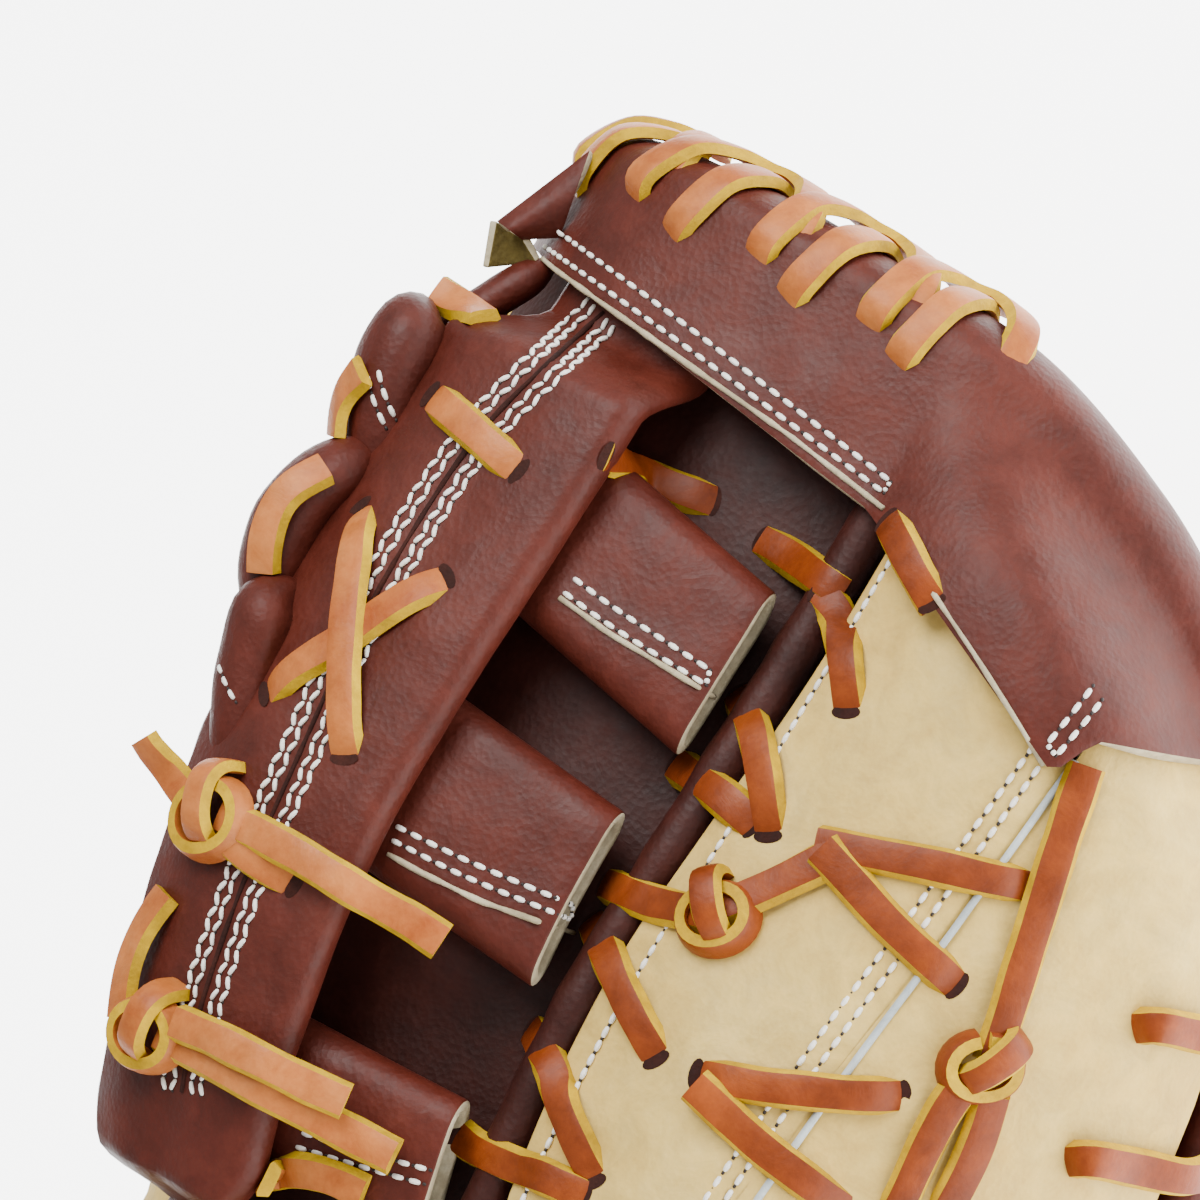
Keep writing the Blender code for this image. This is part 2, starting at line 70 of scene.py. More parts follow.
def unit(v):
    return v / max(1e-6, np.linalg.norm(v))


def heading(points, k):                       # from the point before to the point after
    return points[min(k + 1, len(points) - 1)] - points[max(k - 1, 0)]


def circle(count):
    return np.linspace(0.0, 2 * math.pi, count, endpoint=False)


def smoothRead(table, column, x):             # smooth curve through a table's rows
    xs = [row[0] for row in table]
    ys = [row[column] for row in table]
    x = min(xs[-1], max(xs[0], x))
    i = max(0, min(len(xs) - 2, int(np.searchsorted(xs, x, side="right")) - 1))
    steps = [(ys[k + 1] - ys[k]) / (xs[k + 1] - xs[k]) for k in range(len(xs) - 1)]

    def tangent(k):
        if k == 0:
            return steps[0]
        if k == len(xs) - 1:
            return steps[-1]
        low, high = steps[k - 1], steps[k]
        return 0.0 if low * high <= 0 else 2.0 * low * high / (low + high)

    width = xs[i + 1] - xs[i]
    t = (x - xs[i]) / width
    return ((2 * t**3 - 3 * t**2 + 1) * ys[i] + (t**3 - 2 * t**2 + t) * width * tangent(i)
            + (3 * t**2 - 2 * t**3) * ys[i + 1] + (t**3 - t**2) * width * tangent(i + 1))


def lineRead(table, column, x):
    return float(np.interp(x, [row[0] for row in table], [row[column] for row in table]))


def acrossShare(s):
    return s / (pattern["thumbReach"] if s >= 0 else pattern["fingerReach"])


def alongShare(y):
    return y / (pattern["tipReach"] if y >= 0 else pattern["heelReach"])


def foldProfile(column):
    sValues = np.arange(int(-pattern["fingerReach"] - 12), int(pattern["thumbReach"] + 12) + 1, 1.0)
    slopes = [math.radians(lineRead(foldTable, column, acrossShare(s))) for s in sValues]
    xs = np.concatenate([[0.0], np.cumsum([math.cos(a) for a in slopes[1:]])])
    zs = np.concatenate([[0.0], np.cumsum([math.sin(a) for a in slopes[1:]])])
    xs -= np.interp(0.0, sValues, xs)
    zs -= np.interp(0.0, sValues, zs)
    dropThumb = -np.interp(pattern["thumbReach"], sValues, zs)
    dropFinger = -np.interp(-pattern["fingerReach"], sValues, zs)
    ratio = np.where(sValues >= 0, pattern["ridgeHeight"] / dropThumb, pattern["ridgeHeight"] / dropFinger)
    return sValues, xs, pattern["ridgeHeight"] + zs * ratio


tipProfile = foldProfile(1)
heelProfile = foldProfile(2)
runSpan = (-260, 120)                         # the run table is read once at every millimetre of this span
runCurve = {column: [smoothRead(runTable, column, alongShare(y)) for y in range(runSpan[0], runSpan[1] + 1)]
            for column in (1, 2, 3)}


def runAt(column, y):
    at = min(runSpan[1] - runSpan[0] - 0.001, max(0.0, y - runSpan[0]))
    low = int(at)
    return runCurve[column][low] + (runCurve[column][low + 1] - runCurve[column][low]) * (at - low)


def basePoint(s, y):
    side = ease((s + 15.0) / 30.0)
    width = runAt(3, y) * (1.0 - side) + runAt(2, y) * side
    heel = ease((12.0 - y) / 66.0)
    xTip, zTip = (np.interp(s, tipProfile[0], row) for row in tipProfile[1:])
    xHeel, zHeel = (np.interp(s, heelProfile[0], row) for row in heelProfile[1:])
    x = (xTip + (xHeel - xTip) * heel) * width
    z = (zTip + (zHeel - zTip) * heel) * runAt(1, y)
    return np.array([x + pattern["shiftX"], y + pattern["shiftY"], z + pattern["lift"]])


def normalAt(s, y):
    side = basePoint(s + 2.5, y) - basePoint(s - 2.5, y)
    ahead = basePoint(s, y + 2.5) - basePoint(s, y - 2.5)
    return unit(np.cross(side, ahead))


def place(s, y, h):
    return basePoint(s, y) + normalAt(s, y) * h


def topY(s):
    share = smoothRead(topOutline, 1, acrossShare(s))
    return share * (pattern["tipReach"] if share >= 0 else pattern["heelReach"])


def heelY(s):
    return -pattern["heelReach"] + 34.0 * abs(acrossShare(s)) ** 4


def webEdge(y):
    return pattern["webHalf"] - 5.0 * ease((10.0 - y) / 100.0)


def handShare(y):
    return ease((pattern["crotchY"] - 2.0 - y) / 38.0)


backs = {"thumbRise": 17.0, "fingerRise": 17.0, "edgeRise": 8.2, "handRise": 33.0, "groove": 3.6,
         "seam": 0.44, "lean": 0.0015, "openingY": -142.0, "wristY": -176.0, "wristWidth": 27.0}


def backRise(s, y):                           # height of the outer back leather
    hand = (backs["handRise"] - backs["edgeRise"]) * handShare(y)
    if abs(s) <= webEdge(y):
        return backs["edgeRise"] + hand
    close = 1.0 - ease(1.0 - (topY(s) - y) / 30.0) ** 2
    if s > 0:
        t = (s - webEdge(y)) / (pattern["thumbReach"] - webEdge(y))
        dome = backs["thumbRise"] * (1.0 - abs(2 * t - 1) ** 2.2)
    else:
        t = (-s - webEdge(y)) / (pattern["fingerReach"] - webEdge(y))
        dome = backs["fingerRise"] * (1.0 - abs(2 * t - 1) ** 3.0)
        for start in fingerStarts:
            dome -= backs["groove"] * math.exp(-(((t - start) / 0.035) ** 2)) * (1.0 - handShare(y))
    t = min(1.0, max(0.0, t))
    return backs["edgeRise"] * (1.0 - 0.2 * t) + dome * close + hand * (1.0 - t) ** 1.6


def backLowY(s):
    return backs["openingY"] - 58.0 * ease((abs(acrossShare(s)) - 0.42) / 0.4)


def panelEdge(y):
    return webEdge(y) + webBinding["radius"] + webBinding["panelGap"]


# The photograph: 7 pixels a millimetre, pixel (380, 600) is the post's middle, the tip points up and left
photo = {"size": 1200.0, "pxPerMm": 7.0, "anchorX": 380.0, "anchorY": 600.0, "elevation": 33.0,
         "roll": 63.0, "distance": 1.2, "postTop": 20.95}


def makeCamera():
    tilt = math.radians(90.0 - photo["elevation"])
    roll = math.radians(photo["roll"])
    toCamera = Vector((math.sin(tilt), 0.0, math.cos(tilt)))
    along = Vector((0.0, 1.0, 0.0))
    across = Vector((math.cos(tilt), 0.0, -math.sin(tilt)))
    right = math.cos(roll) * along + math.sin(roll) * across
    up = math.sin(roll) * along - math.cos(roll) * across
    anchor = Vector(place(0.0, 0.0, photo["postTop"])) * mm
    half = photo["size"] / 2
    centre = anchor + right * ((half - photo["anchorX"]) / photo["pxPerMm"] * mm)
    centre += up * ((photo["anchorY"] - half) / photo["pxPerMm"] * mm)
    data = bpy.data.cameras.new("photoCamera")
    camera = bpy.data.objects.new("photoCamera", data)
    bpy.context.scene.collection.objects.link(camera)
    camera.matrix_world = Matrix(((right.x, up.x, toCamera.x, 0), (right.y, up.y, toCamera.y, 0),
                                  (right.z, up.z, toCamera.z, 0), (0, 0, 0, 1)))
    camera.location = centre + toCamera * photo["distance"]
    data.sensor_width = 36.0
    data.lens = 36.0 * photo["distance"] / (photo["size"] / photo["pxPerMm"] * mm)
    data.clip_start = 0.01
    bpy.context.scene.camera = camera
    return camera, right, up, toCamera, centre


camera, viewRight, viewUp, viewBack, viewCentre = makeCamera()
print("camera placed")


# Colours and materials
def linearColour(code):                       # sRGB hex to linear
    parts = [int(code[i:i + 2], 16) / 255.0 for i in (1, 3, 5)]
    return tuple(c / 12.92 if c <= 0.04045 else ((c + 0.055) / 1.055) ** 2.4 for c in parts) + (1.0,)


def addNode(tree, kind, settings=None, links=None):
    node = tree.nodes.new(kind)
    for name, value in (settings or {}).items():
        if name in node.inputs:
            node.inputs[name].default_value = value
        else:
            setattr(node, name, value)
    for name, source in (links or {}).items():
        tree.links.new(source, node.inputs[name])
    return node


finishParts = ("slot", "dark", "mid", "light", "roughness", "porePitch", "creasePitch", "poreBump")
leatherFinishes = {
    # full-grain steerhide, drum dyed and oiled: soft gloss, fine pores, darker in the folds as painted shade
    "oiledBrownSteerhide": ("brown_leather", "#3A1209", "#48190F", "#542217", 0.50, 0.95, 6.0, 0.34),
    # painted shade: the same hide darker, inside the web and the palm
    "shadedBrownSteerhide": ("brown_leather", "#220804", "#321009", "#421A12", 0.55, 0.95, 7.0, 0.34),
    # full-grain steerhide, surface dyed cream: even and dry, hardly any gloss
    "creamSteerhide": ("cream_leather", "#BC994C", "#C8A95C", "#D2B66E", 0.60, 0.85, 7.0, 0.30),
    # rawhide lace, tumble dyed tan: waxy face
    "tanRawhide": ("lace_leather", "#8A4012", "#A8602A", "#BC7840", 0.44, 0.8, 7.0, 0.12),
    # the same lace in painted shade: deeper and rustier, where less light falls
    "shadedRawhide": ("lace_leather", "#521E04", "#743008", "#8E420F", 0.44, 0.8, 7.0, 0.12),
    # the lace's cut edge: raw core stained yellow
    "yellowLaceCore": ("lace_leather", "#927000", "#B48E00", "#CCA608", 0.7, 0.7, 4.0, 0.3),
    # the hide's flesh side inside the strap's fold, in painted shade: darkened to olive
    "shadedFleshSide": ("brown_leather", "#3A3116", "#574A22", "#71643A", 0.9, 0.8, 3.0, 0.6),
    # raw edge of the dyed brown hide at the post's seam; in the punched slits the same dark colour is painted shade
    "dyedRawEdgeAndHoleShade": ("brown_leather", "#1C0A06", "#2C120C", "#3C1C14", 0.9, 0.7, 3.0, 0.5),
    # thin split-leather piping, bleached: almost white with a cool cast
    "palePiping": ("cream_leather", "#8E9698", "#A9B0B0", "#C0C5C3", 0.6, 0.8, 5.0, 0.15),
    # split flesh side of the brown hide, undyed: rough and dull
    "rawFleshSide": ("brown_leather", "#8A7E62", "#A89C80", "#BFB59B", 0.85, 0.8, 3.0, 0.5),
}


def newMaterial(name, slot, roughness, specular):
    made = bpy.data.materials.new(name)
    made.use_nodes = True
    tree = made.node_tree
    shader = tree.nodes["Principled BSDF"]
    shader.inputs["Roughness"].default_value = roughness
    shader.inputs["Specular IOR Level"].default_value = specular
    if slot:
        made["slot"] = slot
    return made, tree, shader


def multiply(tree, shader, light, tone=None):  # the base colour: a tone, or what is linked later, times a factor: painted shade in leather, the fuzz's tone in thread
    shade = addNode(tree, "ShaderNodeMix", {"data_type": "RGBA", "blend_type": "MULTIPLY", "Factor": 1.0})
    if tone:
        shade.inputs[6].default_value = tone
    tree.links.new(light.outputs["Result"], shade.inputs[7])
    tree.links.new(shade.outputs[2], shader.inputs["Base Color"])
    return shade.inputs[6]


def makeLeather(name, finish):
    made, tree, shader = newMaterial(name, finish["slot"], finish["roughness"], 0.22)
    where = addNode(tree, "ShaderNodeTexCoord").outputs["Object"]
    mottle = addNode(tree, "ShaderNodeTexNoise", {"Scale": 1.0 / (finish["creasePitch"] * 3.0 * mm), "Detail": 6.0,
                                                  "Roughness": 0.74}, {"Vector": where})
    pores = addNode(tree, "ShaderNodeTexVoronoi", {"Scale": 1.0 / (finish["porePitch"] * mm), "feature": "F1"},
                    {"Vector": where})
    creases = addNode(tree, "ShaderNodeTexNoise", {"Scale": 1.0 / (finish["creasePitch"] * mm), "Detail": 7.0,
                                                   "Roughness": 0.68, "Distortion": 0.8}, {"Vector": where})
    tint = addNode(tree, "ShaderNodeValToRGB", None, {"Fac": mottle.outputs["Fac"]})
    ramp = tint.color_ramp
    ramp.elements[0].position = 0.30
    ramp.elements[0].color = linearColour(finish["dark"])
    ramp.elements[1].position = 0.74
    ramp.elements[1].color = linearColour(finish["light"])
    middle = ramp.elements.new(0.52)
    middle.color = linearColour(finish["mid"])
    # painted shade: darker in the fine folds of the crease noise, a little lighter on its ridges
    fold = addNode(tree, "ShaderNodeMapRange", {"From Min": 0.38, "From Max": 0.62, "To Min": 0.86, "To Max": 1.06},
                   {"Value": creases.outputs["Fac"]})
    tree.links.new(tint.outputs["Color"], multiply(tree, shader, fold))
    gloss = addNode(tree, "ShaderNodeMapRange",
                    {"From Min": 0.3, "From Max": 0.7, "To Min": finish["roughness"] - 0.07,
                     "To Max": finish["roughness"] + 0.10}, {"Value": creases.outputs["Fac"]})
    tree.links.new(gloss.outputs["Result"], shader.inputs["Roughness"])
    grain = addNode(tree, "ShaderNodeBump", {"Strength": finish["poreBump"], "Distance": 0.2 * mm},
                    {"Height": pores.outputs["Distance"]})
    wrinkle = addNode(tree, "ShaderNodeBump", {"Strength": 0.32, "Distance": 0.5 * mm},
                      {"Height": creases.outputs["Fac"], "Normal": grain.outputs["Normal"]})
    tree.links.new(wrinkle.outputs["Normal"], shader.inputs["Normal"])
    return made


def makeThread(name, colour):                 # waxed nylon thread: twisted, slightly glossy
    made, tree, shader = newMaterial(name, "thread", 0.55, 0.4)
    where = addNode(tree, "ShaderNodeTexCoord").outputs["Object"]
    fuzz = addNode(tree, "ShaderNodeTexNoise", {"Scale": 1.0 / (0.9 * mm), "Detail": 3.0}, {"Vector": where})
    tint = addNode(tree, "ShaderNodeMapRange", {"From Min": 0.3, "From Max": 0.7, "To Min": 0.80, "To Max": 1.0},
                   {"Value": fuzz.outputs["Fac"]})
    multiply(tree, shader, tint, linearColour(colour))
    twist = addNode(tree, "ShaderNodeBump", {"Strength": 0.4, "Distance": 0.1 * mm}, {"Height": fuzz.outputs["Fac"]})
    tree.links.new(twist.outputs["Normal"], shader.inputs["Normal"])
    return made


finishes = {name: makeLeather(name, dict(zip(finishParts, row))) for name, row in leatherFinishes.items()}
finishes["waxedWhiteThread"] = makeThread("waxedWhiteThread", "#EFEBE2")
finishes["punchedHoleShade"] = makeThread("punchedHoleShade", "#1E1310")
brown = finishes["oiledBrownSteerhide"]
shadedBrown = finishes["shadedBrownSteerhide"]
cream = finishes["creamSteerhide"]
tan = finishes["tanRawhide"]
laceCore = finishes["yellowLaceCore"]
flesh = finishes["rawFleshSide"]
whiteThread = finishes["waxedWhiteThread"]
holeShade = finishes["punchedHoleShade"]
shadedLace = finishes["shadedRawhide"]
fleshShade = finishes["shadedFleshSide"]
seamEdgeAndHoleShade = finishes["dyedRawEdgeAndHoleShade"]
print("materials ready")

pieces = []


def rideMitt(made):
    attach(made, "root")


def keepPiece(made, node=None):         # leather that laces can lie on, in the node's place when there is one
    rideMitt(made)
    if node:
        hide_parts(node)
    pieces.append(made)


def linkMesh(name, verts, faces, materials):  # verts in metres
    mesh = bpy.data.meshes.new(name)
    mesh.from_pydata(verts, [], faces)
    for material in materials:
        mesh.materials.append(material)
    mesh.shade_smooth()
    made = bpy.data.objects.new(name, mesh)
    bpy.context.scene.collection.objects.link(made)
    return made


def gridFaces(base, wide, high, closed=True):  # between rows of points, from point number base on
    faces = []
    for low in range(base, base + high * wide, wide):
        for i in range(wide if closed else wide - 1):
            k = (i + 1) % wide
            faces.append((low + i, low + k, low + wide + k, low + wide + i))
    return faces


def gridMesh(name, rows, materials, closed=False):
    verts = np.array([point for row in rows for point in row]) * mm
    return linkMesh(name, [tuple(v) for v in verts], gridFaces(0, len(rows[0]), len(rows) - 1, closed), materials)


def addBevel(made, width, segments, degrees):  # rounds what is sharper than the angle
    bevel = made.modifiers.new("worn edge", "BEVEL")
    bevel.width = width * mm
    bevel.segments = segments
    bevel.limit_method = "ANGLE"
    bevel.angle_limit = math.radians(degrees)


def applyAll(made):                           # modifiers become mesh, so that rays see them
    graph = bpy.context.evaluated_depsgraph_get()
    done = bpy.data.meshes.new_from_object(made.evaluated_get(graph))
    made.modifiers.clear()
    made.data = done
    return made


def wrinkled(point, normal, amount, pitch):   # soft undulation of worked leather, in millimetres
    v = Vector(point) / pitch
    return point + normal * (amount * noise.noise(v) + 0.45 * amount * noise.noise(v * 2.3))


def leatherShell(name, rows, thickness, outer, inner, outward, edgeRound=0.8, closed=False):
    made = gridMesh(name, rows, [outer, inner], closed)
    mesh = made.data
    shape = bmesh.new()
    shape.from_mesh(mesh)
    bmesh.ops.recalc_face_normals(shape, faces=shape.faces)
    if sum(face.normal.dot(outward(face.calc_center_median())) for face in shape.faces) < 0:
        bmesh.ops.reverse_faces(shape, faces=shape.faces)
    shape.to_mesh(mesh)
    shape.free()
    solid = made.modifiers.new("leather", "SOLIDIFY")
    solid.thickness = thickness * mm
    solid.offset = -1.0
    solid.use_even_offset = True
    solid.material_offset = 1
    solid.material_offset_rim = 1
    addBevel(made, edgeRound, 2, 50.0)
    return applyAll(made)


def upward(point):
    return Vector((0.0, 0.0, 1.0))


def patternSheet(sRange, yRange, rise, counts, guideS=0.0, amount=0.35, pitch=14.0):
    across, along = counts
    rows = []
    for j in range(along + 1):
        share = j / along
        low, high = yRange(guideS)
        sLow, sHigh = sRange(low + (high - low) * share)
        row = []
        for i in range(across + 1):
            s = sLow + (sHigh - sLow) * i / across
            yLow, yHigh = yRange(s)
            y = yLow + (yHigh - yLow) * share
            row.append(wrinkled(place(s, y, rise(s, y)), normalAt(s, y), amount, pitch))
        rows.append(row)
    return rows


# Palm, back panels and web: the frame's forms, finer, with the give of worked leather
def makePalm():
    edge = webEdge(pattern["crotchY"])
    crotch = pattern["crotchY"] - 2 * pattern["crotchGap"]
    columns = [-pattern["fingerReach"] * (1.0 - 0.72 * k / 30) for k in range(31)]
    columns += [-edge + 2 * edge * k / 16 for k in range(17)]
    columns += [edge + (pattern["thumbReach"] - edge) * k / 16 for k in range(1, 17)]
    columns = sorted(set(round(s, 3) for s in columns))
    left = min(range(len(columns)), key=lambda i: abs(columns[i] + edge))
    right = min(range(len(columns)), key=lambda i: abs(columns[i] - edge))
    lowRows, highRows = 34, 44
    verts, faces, index = [], [], {}

    def vertex(i, j):
        if (i, j) not in index:
            s = columns[i]
            if j <= lowRows:
                y = heelY(s) + (crotch - heelY(s)) * j / lowRows
            else:
                y = crotch + (topY(s) - crotch) * (j - lowRows) / highRows
                if i in (left, right):
                    s = math.copysign(webEdge(y), s)
            index[i, j] = len(verts)
            point = place(s, y, leather["palmTop"])
            verts.append(tuple(wrinkled(point, normalAt(s, y), 0.3, 16.0) * mm))
        return index[i, j]

    for i in range(len(columns) - 1):
        for j in range(lowRows + highRows):
            if j >= lowRows and left <= i < right:
                continue
            faces.append((vertex(i, j), vertex(i + 1, j), vertex(i + 1, j + 1), vertex(i, j + 1)))
    # the palm's face is the darker brown: painted shade
    made = linkMesh("palmLeather", verts, faces, [shadedBrown, brown])
    solid = made.modifiers.new("padding", "SOLIDIFY")
    solid.thickness = leather["palm"] * mm
    solid.offset = -1.0
    addBevel(made, 2.2, 3, 50.0)
    keepPiece(applyAll(made), "palm")


def makeBackPanel(name, node, start, end, sign, counts):
    reach = pattern["thumbReach"] if sign > 0 else pattern["fingerReach"]
    gap = leather["seamGap"]

    def sRange(y):
        inner = panelEdge(y)
        lean = backs["lean"] * max(y, 1.6 * pattern["crotchY"]) if sign > 0 else 0.0
        low = inner + (reach - inner) * (start + lean) + gap / 2 if start > 0 else inner
        high = inner + (reach - inner) * (end + lean) - gap / 2 if end < 1 else reach
        return sign * low, sign * high

    def yRange(s):
        return backLowY(s), topY(s) - 4.0

    guide = sign * (panelEdge(0.0) + reach) / 2
    rows = patternSheet(sRange, yRange, backRise, counts, guide, 0.55, 15.0)
    out = Vector(normalAt(sum(sRange(0.0)) / 2, 0.0))
    made = leatherShell(name, rows, leather["shell"], cream, flesh, lambda point: out, 0.7)
    keepPiece(made, node)


def makeHandBack():
    half = panelEdge(pattern["crotchY"]) - leather["seamGap"]

    def yRange(s):
        return backLowY(s), pattern["crotchY"] - webBinding["drop"] - webBinding["radius"] - webBinding["handGap"]

    rows = patternSheet(lambda y: (-half, half), yRange, backRise, (34, 26), 0.0, 0.5, 15.0)
    made = leatherShell("handBackLeather", rows, leather["shell"], cream, flesh, upward)
    keepPiece(made, "hand_back")


def makeWristStrap():
    y0 = backs["wristY"]
    half = backs["wristWidth"] / 2
    rows = patternSheet(lambda y: (-0.66 * pattern["fingerReach"], 0.68 * pattern["thumbReach"]),
                        lambda s: (y0 - half, y0 + half),
                        lambda s, y: backRise(s, y) + leather["shell"] + 2 * leather["seatGap"], (70, 10), 0.0, 0.3)
    made = leatherShell("wristStrapLeather", rows, leather["shell"], brown, flesh, upward)
    keepPiece(made, "wrist_strap")


def makeWebSheet():
    def sRange(y):
        half = webEdge(y) - pattern["crotchGap"] / 2
        return -half, half

    rows = patternSheet(sRange, lambda s: (pattern["crotchY"] - pattern["crotchGap"], topY(s) - 1.0),
                        lambda s, y: 0.0, (30, 54), 0.0, 0.4, 13.0)
    # the sheet is the darker brown: painted shade behind the bars
    made = leatherShell("webSheetLeather", rows, leather["web"], shadedBrown, flesh, upward)
    keepPiece(made, "web_sheet")


def oval(width, depth, count=14, parts=1):
    radius = depth / 2
    flat = width / 2 - radius
    points = []
    for side in (1, -1):
        for k in range(count // 2):
            angle = math.pi * (k + 0.5) / (count // 2) - math.pi / 2
            points.append((side * (flat + radius * math.cos(angle)), side * radius * math.sin(angle)))
        for k in range(1, parts):
            points.append((side * flat * (1.0 - 2.0 * k / parts), side * radius))
    return points


bars = {
    "web_bar_top": {"piece": "topBarLeather", "width": 27.0, "thumbY": 14.5, "fingerY": 34.0},
    "web_bar_middle": {"piece": "middleBarLeather", "width": 27.0, "thumbY": -23.0, "fingerY": -12.0},
    "web_bar_bottom": {"piece": "bottomBarLeather", "width": 20.0, "thumbY": -64.5, "fingerY": -64.5},
}
barShape = {"depth": 9.0, "wall": 2.0, "lift": 4.4, "end": 5.2, "flare": 6.0, "postWidth": 29.0, "postDepth": 7.2}


def barEnds(row):
    low = -(webEdge(row["fingerY"]) - barShape["end"])
    return low, webEdge(row["thumbY"] - row["width"] / 2) - barShape["end"]


def barMiddle(row, s):
    low, high = barEnds(row)
    share = (s - low) / (high - low)
    return row["fingerY"] + (row["thumbY"] - row["fingerY"]) * share


def makeBar(node, row):
    low, high = barEnds(row)
    steps = 44
    rings = []
    for k in range(steps + 1):
        s = low + (high - low) * k / steps
        y = barMiddle(row, s)
        depth = barShape["depth"] + barShape["flare"] * ease((-barShape["postWidth"] / 2 - 8.0 - s) / 12.0)
        ring = []
        for dy, dh in oval(row["width"], depth, 22, 7):
            point = place(s, y + dy, barShape["lift"] + depth / 2 + dh)
            ring.append(wrinkled(point, normalAt(s, y + dy), 0.35, 9.0))
        rings.append(ring)

    def outward(point):                       # away from the bar's middle line
        y = (point.y / mm) - pattern["shiftY"]
        return Vector((0.0, 1.0 if y > barMiddle(row, 0.0) else -1.0, 0.0))

    made = leatherShell(row["piece"], rings, barShape["wall"], brown, flesh, outward, 0.5, closed=True)
    keepPiece(made, node)


def postMiddle(y):
    over = barShape["lift"] + barShape["depth"] + leather["seatGap"] + barShape["postDepth"] / 2
    under = barShape["postDepth"] / 2 + 1.0
    below = bars["web_bar_bottom"]["thumbY"] - bars["web_bar_bottom"]["width"] / 2 - 4.0
    top = bars["web_bar_top"]
    above = (top["thumbY"] + top["fingerY"] + top["width"]) / 2 + 2.0
    return over + (under - over) * max(ease((y - above) / 11.0), ease((below - y) / 10.0))


post = {"low": pattern["crotchY"] + 1.5, "short": 5.0, "rings": 110, "faceHalf": 10.95, "lobe": 1.1, "sink": 1.3}


def postShare(y):                             # how much narrower the post's two halves are at y
    narrow = 1.0 - 0.35 * ease(1.0 - (y - post["low"]) / 14.0)
    return narrow, narrow * (1.0 - 0.42 * ease((2.0 - y) / 50.0))


def postTop(s, y):                            # height of the post's outer face: two soft lobes and a raw seam
    rightShare, leftShare = postShare(y)
    half = barShape["postWidth"] / 2 * (rightShare if s >= 0 else leftShare)
    t = min(1.0, abs(s) / half)
    lobe = post["lobe"] * math.sin(math.pi * min(1.0, t * 1.02)) ** 0.8 if t < 0.98 else 0.0
    return postMiddle(y) + barShape["postDepth"] / 2 - post["sink"] + lobe


def makePost():
    low, top = post["low"], topY(0.0) - post["short"]
    rings = []
    for k in range(post["rings"] + 1):
        y = low + (top - low) * k / post["rings"]
        rightShare, leftShare = postShare(y)
        ring = []
        for ds, dh in oval(barShape["postWidth"], barShape["postDepth"], 18, 14):
            s = ds * (rightShare if ds > 0 else leftShare)
            h = dh
            if dh > 0 and abs(ds) < post["faceHalf"]:
                h = postTop(s, y) - postMiddle(y)
            point = place(s, y, postMiddle(y) + h)
            ring.append(wrinkled(point, normalAt(s, y), 0.35, 11.0))
        rings.append(ring)
    made = solidFromRings("postLeather", rings, brown)
    addBevel(made, 1.2, 2, 60.0)
    keepPiece(applyAll(made), "web_post")


strap = {"gap": 1.3, "thick": 2.4, "capLift": 2.5, "start": -35.0, "length": 145.0, "columns": 92,
         "backRows": 16, "crestRows": 16, "frontRows": 8, "slant": 8.0, "slantColumns": 14}
strapEdge = ((-0.16, 0.74), (0.00, 0.68), (0.36, 0.57), (0.675, 0.29), (0.70, 0.38), (0.84, 0.46))


def strapRise(s, y):
    flat = postMiddle(pattern["tipReach"]) + barShape["postDepth"] / 2 + strap["gap"] + strap["thick"]
    overThumb = backRise(s, y) + strap["capLift"] + strap["thick"]
    return max(flat, flat + (overThumb - flat) * ease((s - webEdge(y) * 0.7) / 18.0))


def strapColumn(s):                           # section from the lower edge over the crest
    low = lineRead(strapEdge, 1, acrossShare(s)) * pattern["tipReach"]
    turn = topY(s) + 0.6
    side = ease((s - pattern["webHalf"] + 8.0) / 8.0)
    frontH = -leather["web"] - strap["gap"] - strap["thick"]
    palmH = leather["palmTop"] - leather["palm"] - strap["gap"] - strap["thick"]
    inner = frontH + (palmH - frontH) * side
    outer = strapRise(s, turn - 2.0)
    column = []
    for j in range(strap["backRows"] + 1):
        y = low + (turn - low) * j / strap["backRows"]
        column.append(place(s, y, strapRise(s, min(y, turn - 2.0))))
    middle, radius = (outer + inner) / 2, (outer - inner) / 2
    for j in range(1, strap["crestRows"]):
        angle = math.pi / 2 - math.pi * j / strap["crestRows"]
        column.append(place(s, turn + 0.75 * radius * math.cos(angle), middle + radius * math.sin(angle)))
    depth = min(20.0, turn - low)
    for j in range(strap["frontRows"] + 1):
        column.append(place(s, turn - depth * j / strap["frontRows"], inner))
    return column


def makeStrap():
    rows = []
    for k in range(strap["columns"] + 1):
        s = strap["start"] + strap["length"] * k / strap["columns"]
        here, beside = strapColumn(s), strapColumn(s - strap["slant"])
        lean = max(0.0, 1.0 - k / strap["slantColumns"])    # the open left end slants out towards the lower edge
        shares = [lean * max(0.0, 1.0 - j / strap["backRows"]) for j in range(len(here))]
        column = [a + (b - a) * share for a, b, share in zip(here, beside, shares)]
        rows.append([wrinkled(point, normalAt(s, topY(s) - 8.0), 0.5, 17.0) for point in column])
    made = leatherShell("topStrapLeather", rows, strap["thick"], brown, flesh,
                        lambda point: point - Vector(place(40.0, 45.0, 4.0)) * mm, 0.5)
    keepPiece(made, "web_top_strap")


def smoothLine(points, step):                 # even points, in millimetres, on a smooth curve through the given ones
    pts = [np.array(p, dtype=float) for p in points]
    fine = []
    for k in range(len(pts) - 1):
        a, b, c, d = pts[max(k - 1, 0)], pts[k], pts[k + 1], pts[min(k + 2, len(pts) - 1)]
        count = max(4, int(np.linalg.norm(c - b) / 0.8))
        for i in range(count):
            t = i / count
            fine.append(0.5 * (2 * b + (c - a) * t + (2 * a - 5 * b + 4 * c - d) * t * t
                               + (3 * b - a - 3 * c + d) * t**3))
    fine.append(pts[-1])
    lengths = np.concatenate([[0.0], np.cumsum([np.linalg.norm(q - p) for p, q in zip(fine, fine[1:])])])
    count = max(2, int(round(lengths[-1] / step)))
    wanted = np.linspace(0.0, lengths[-1], count + 1)
    columns = np.array(fine)
    return [np.array([np.interp(w, lengths, columns[:, i]) for i in range(columns.shape[1])]) for w in wanted]


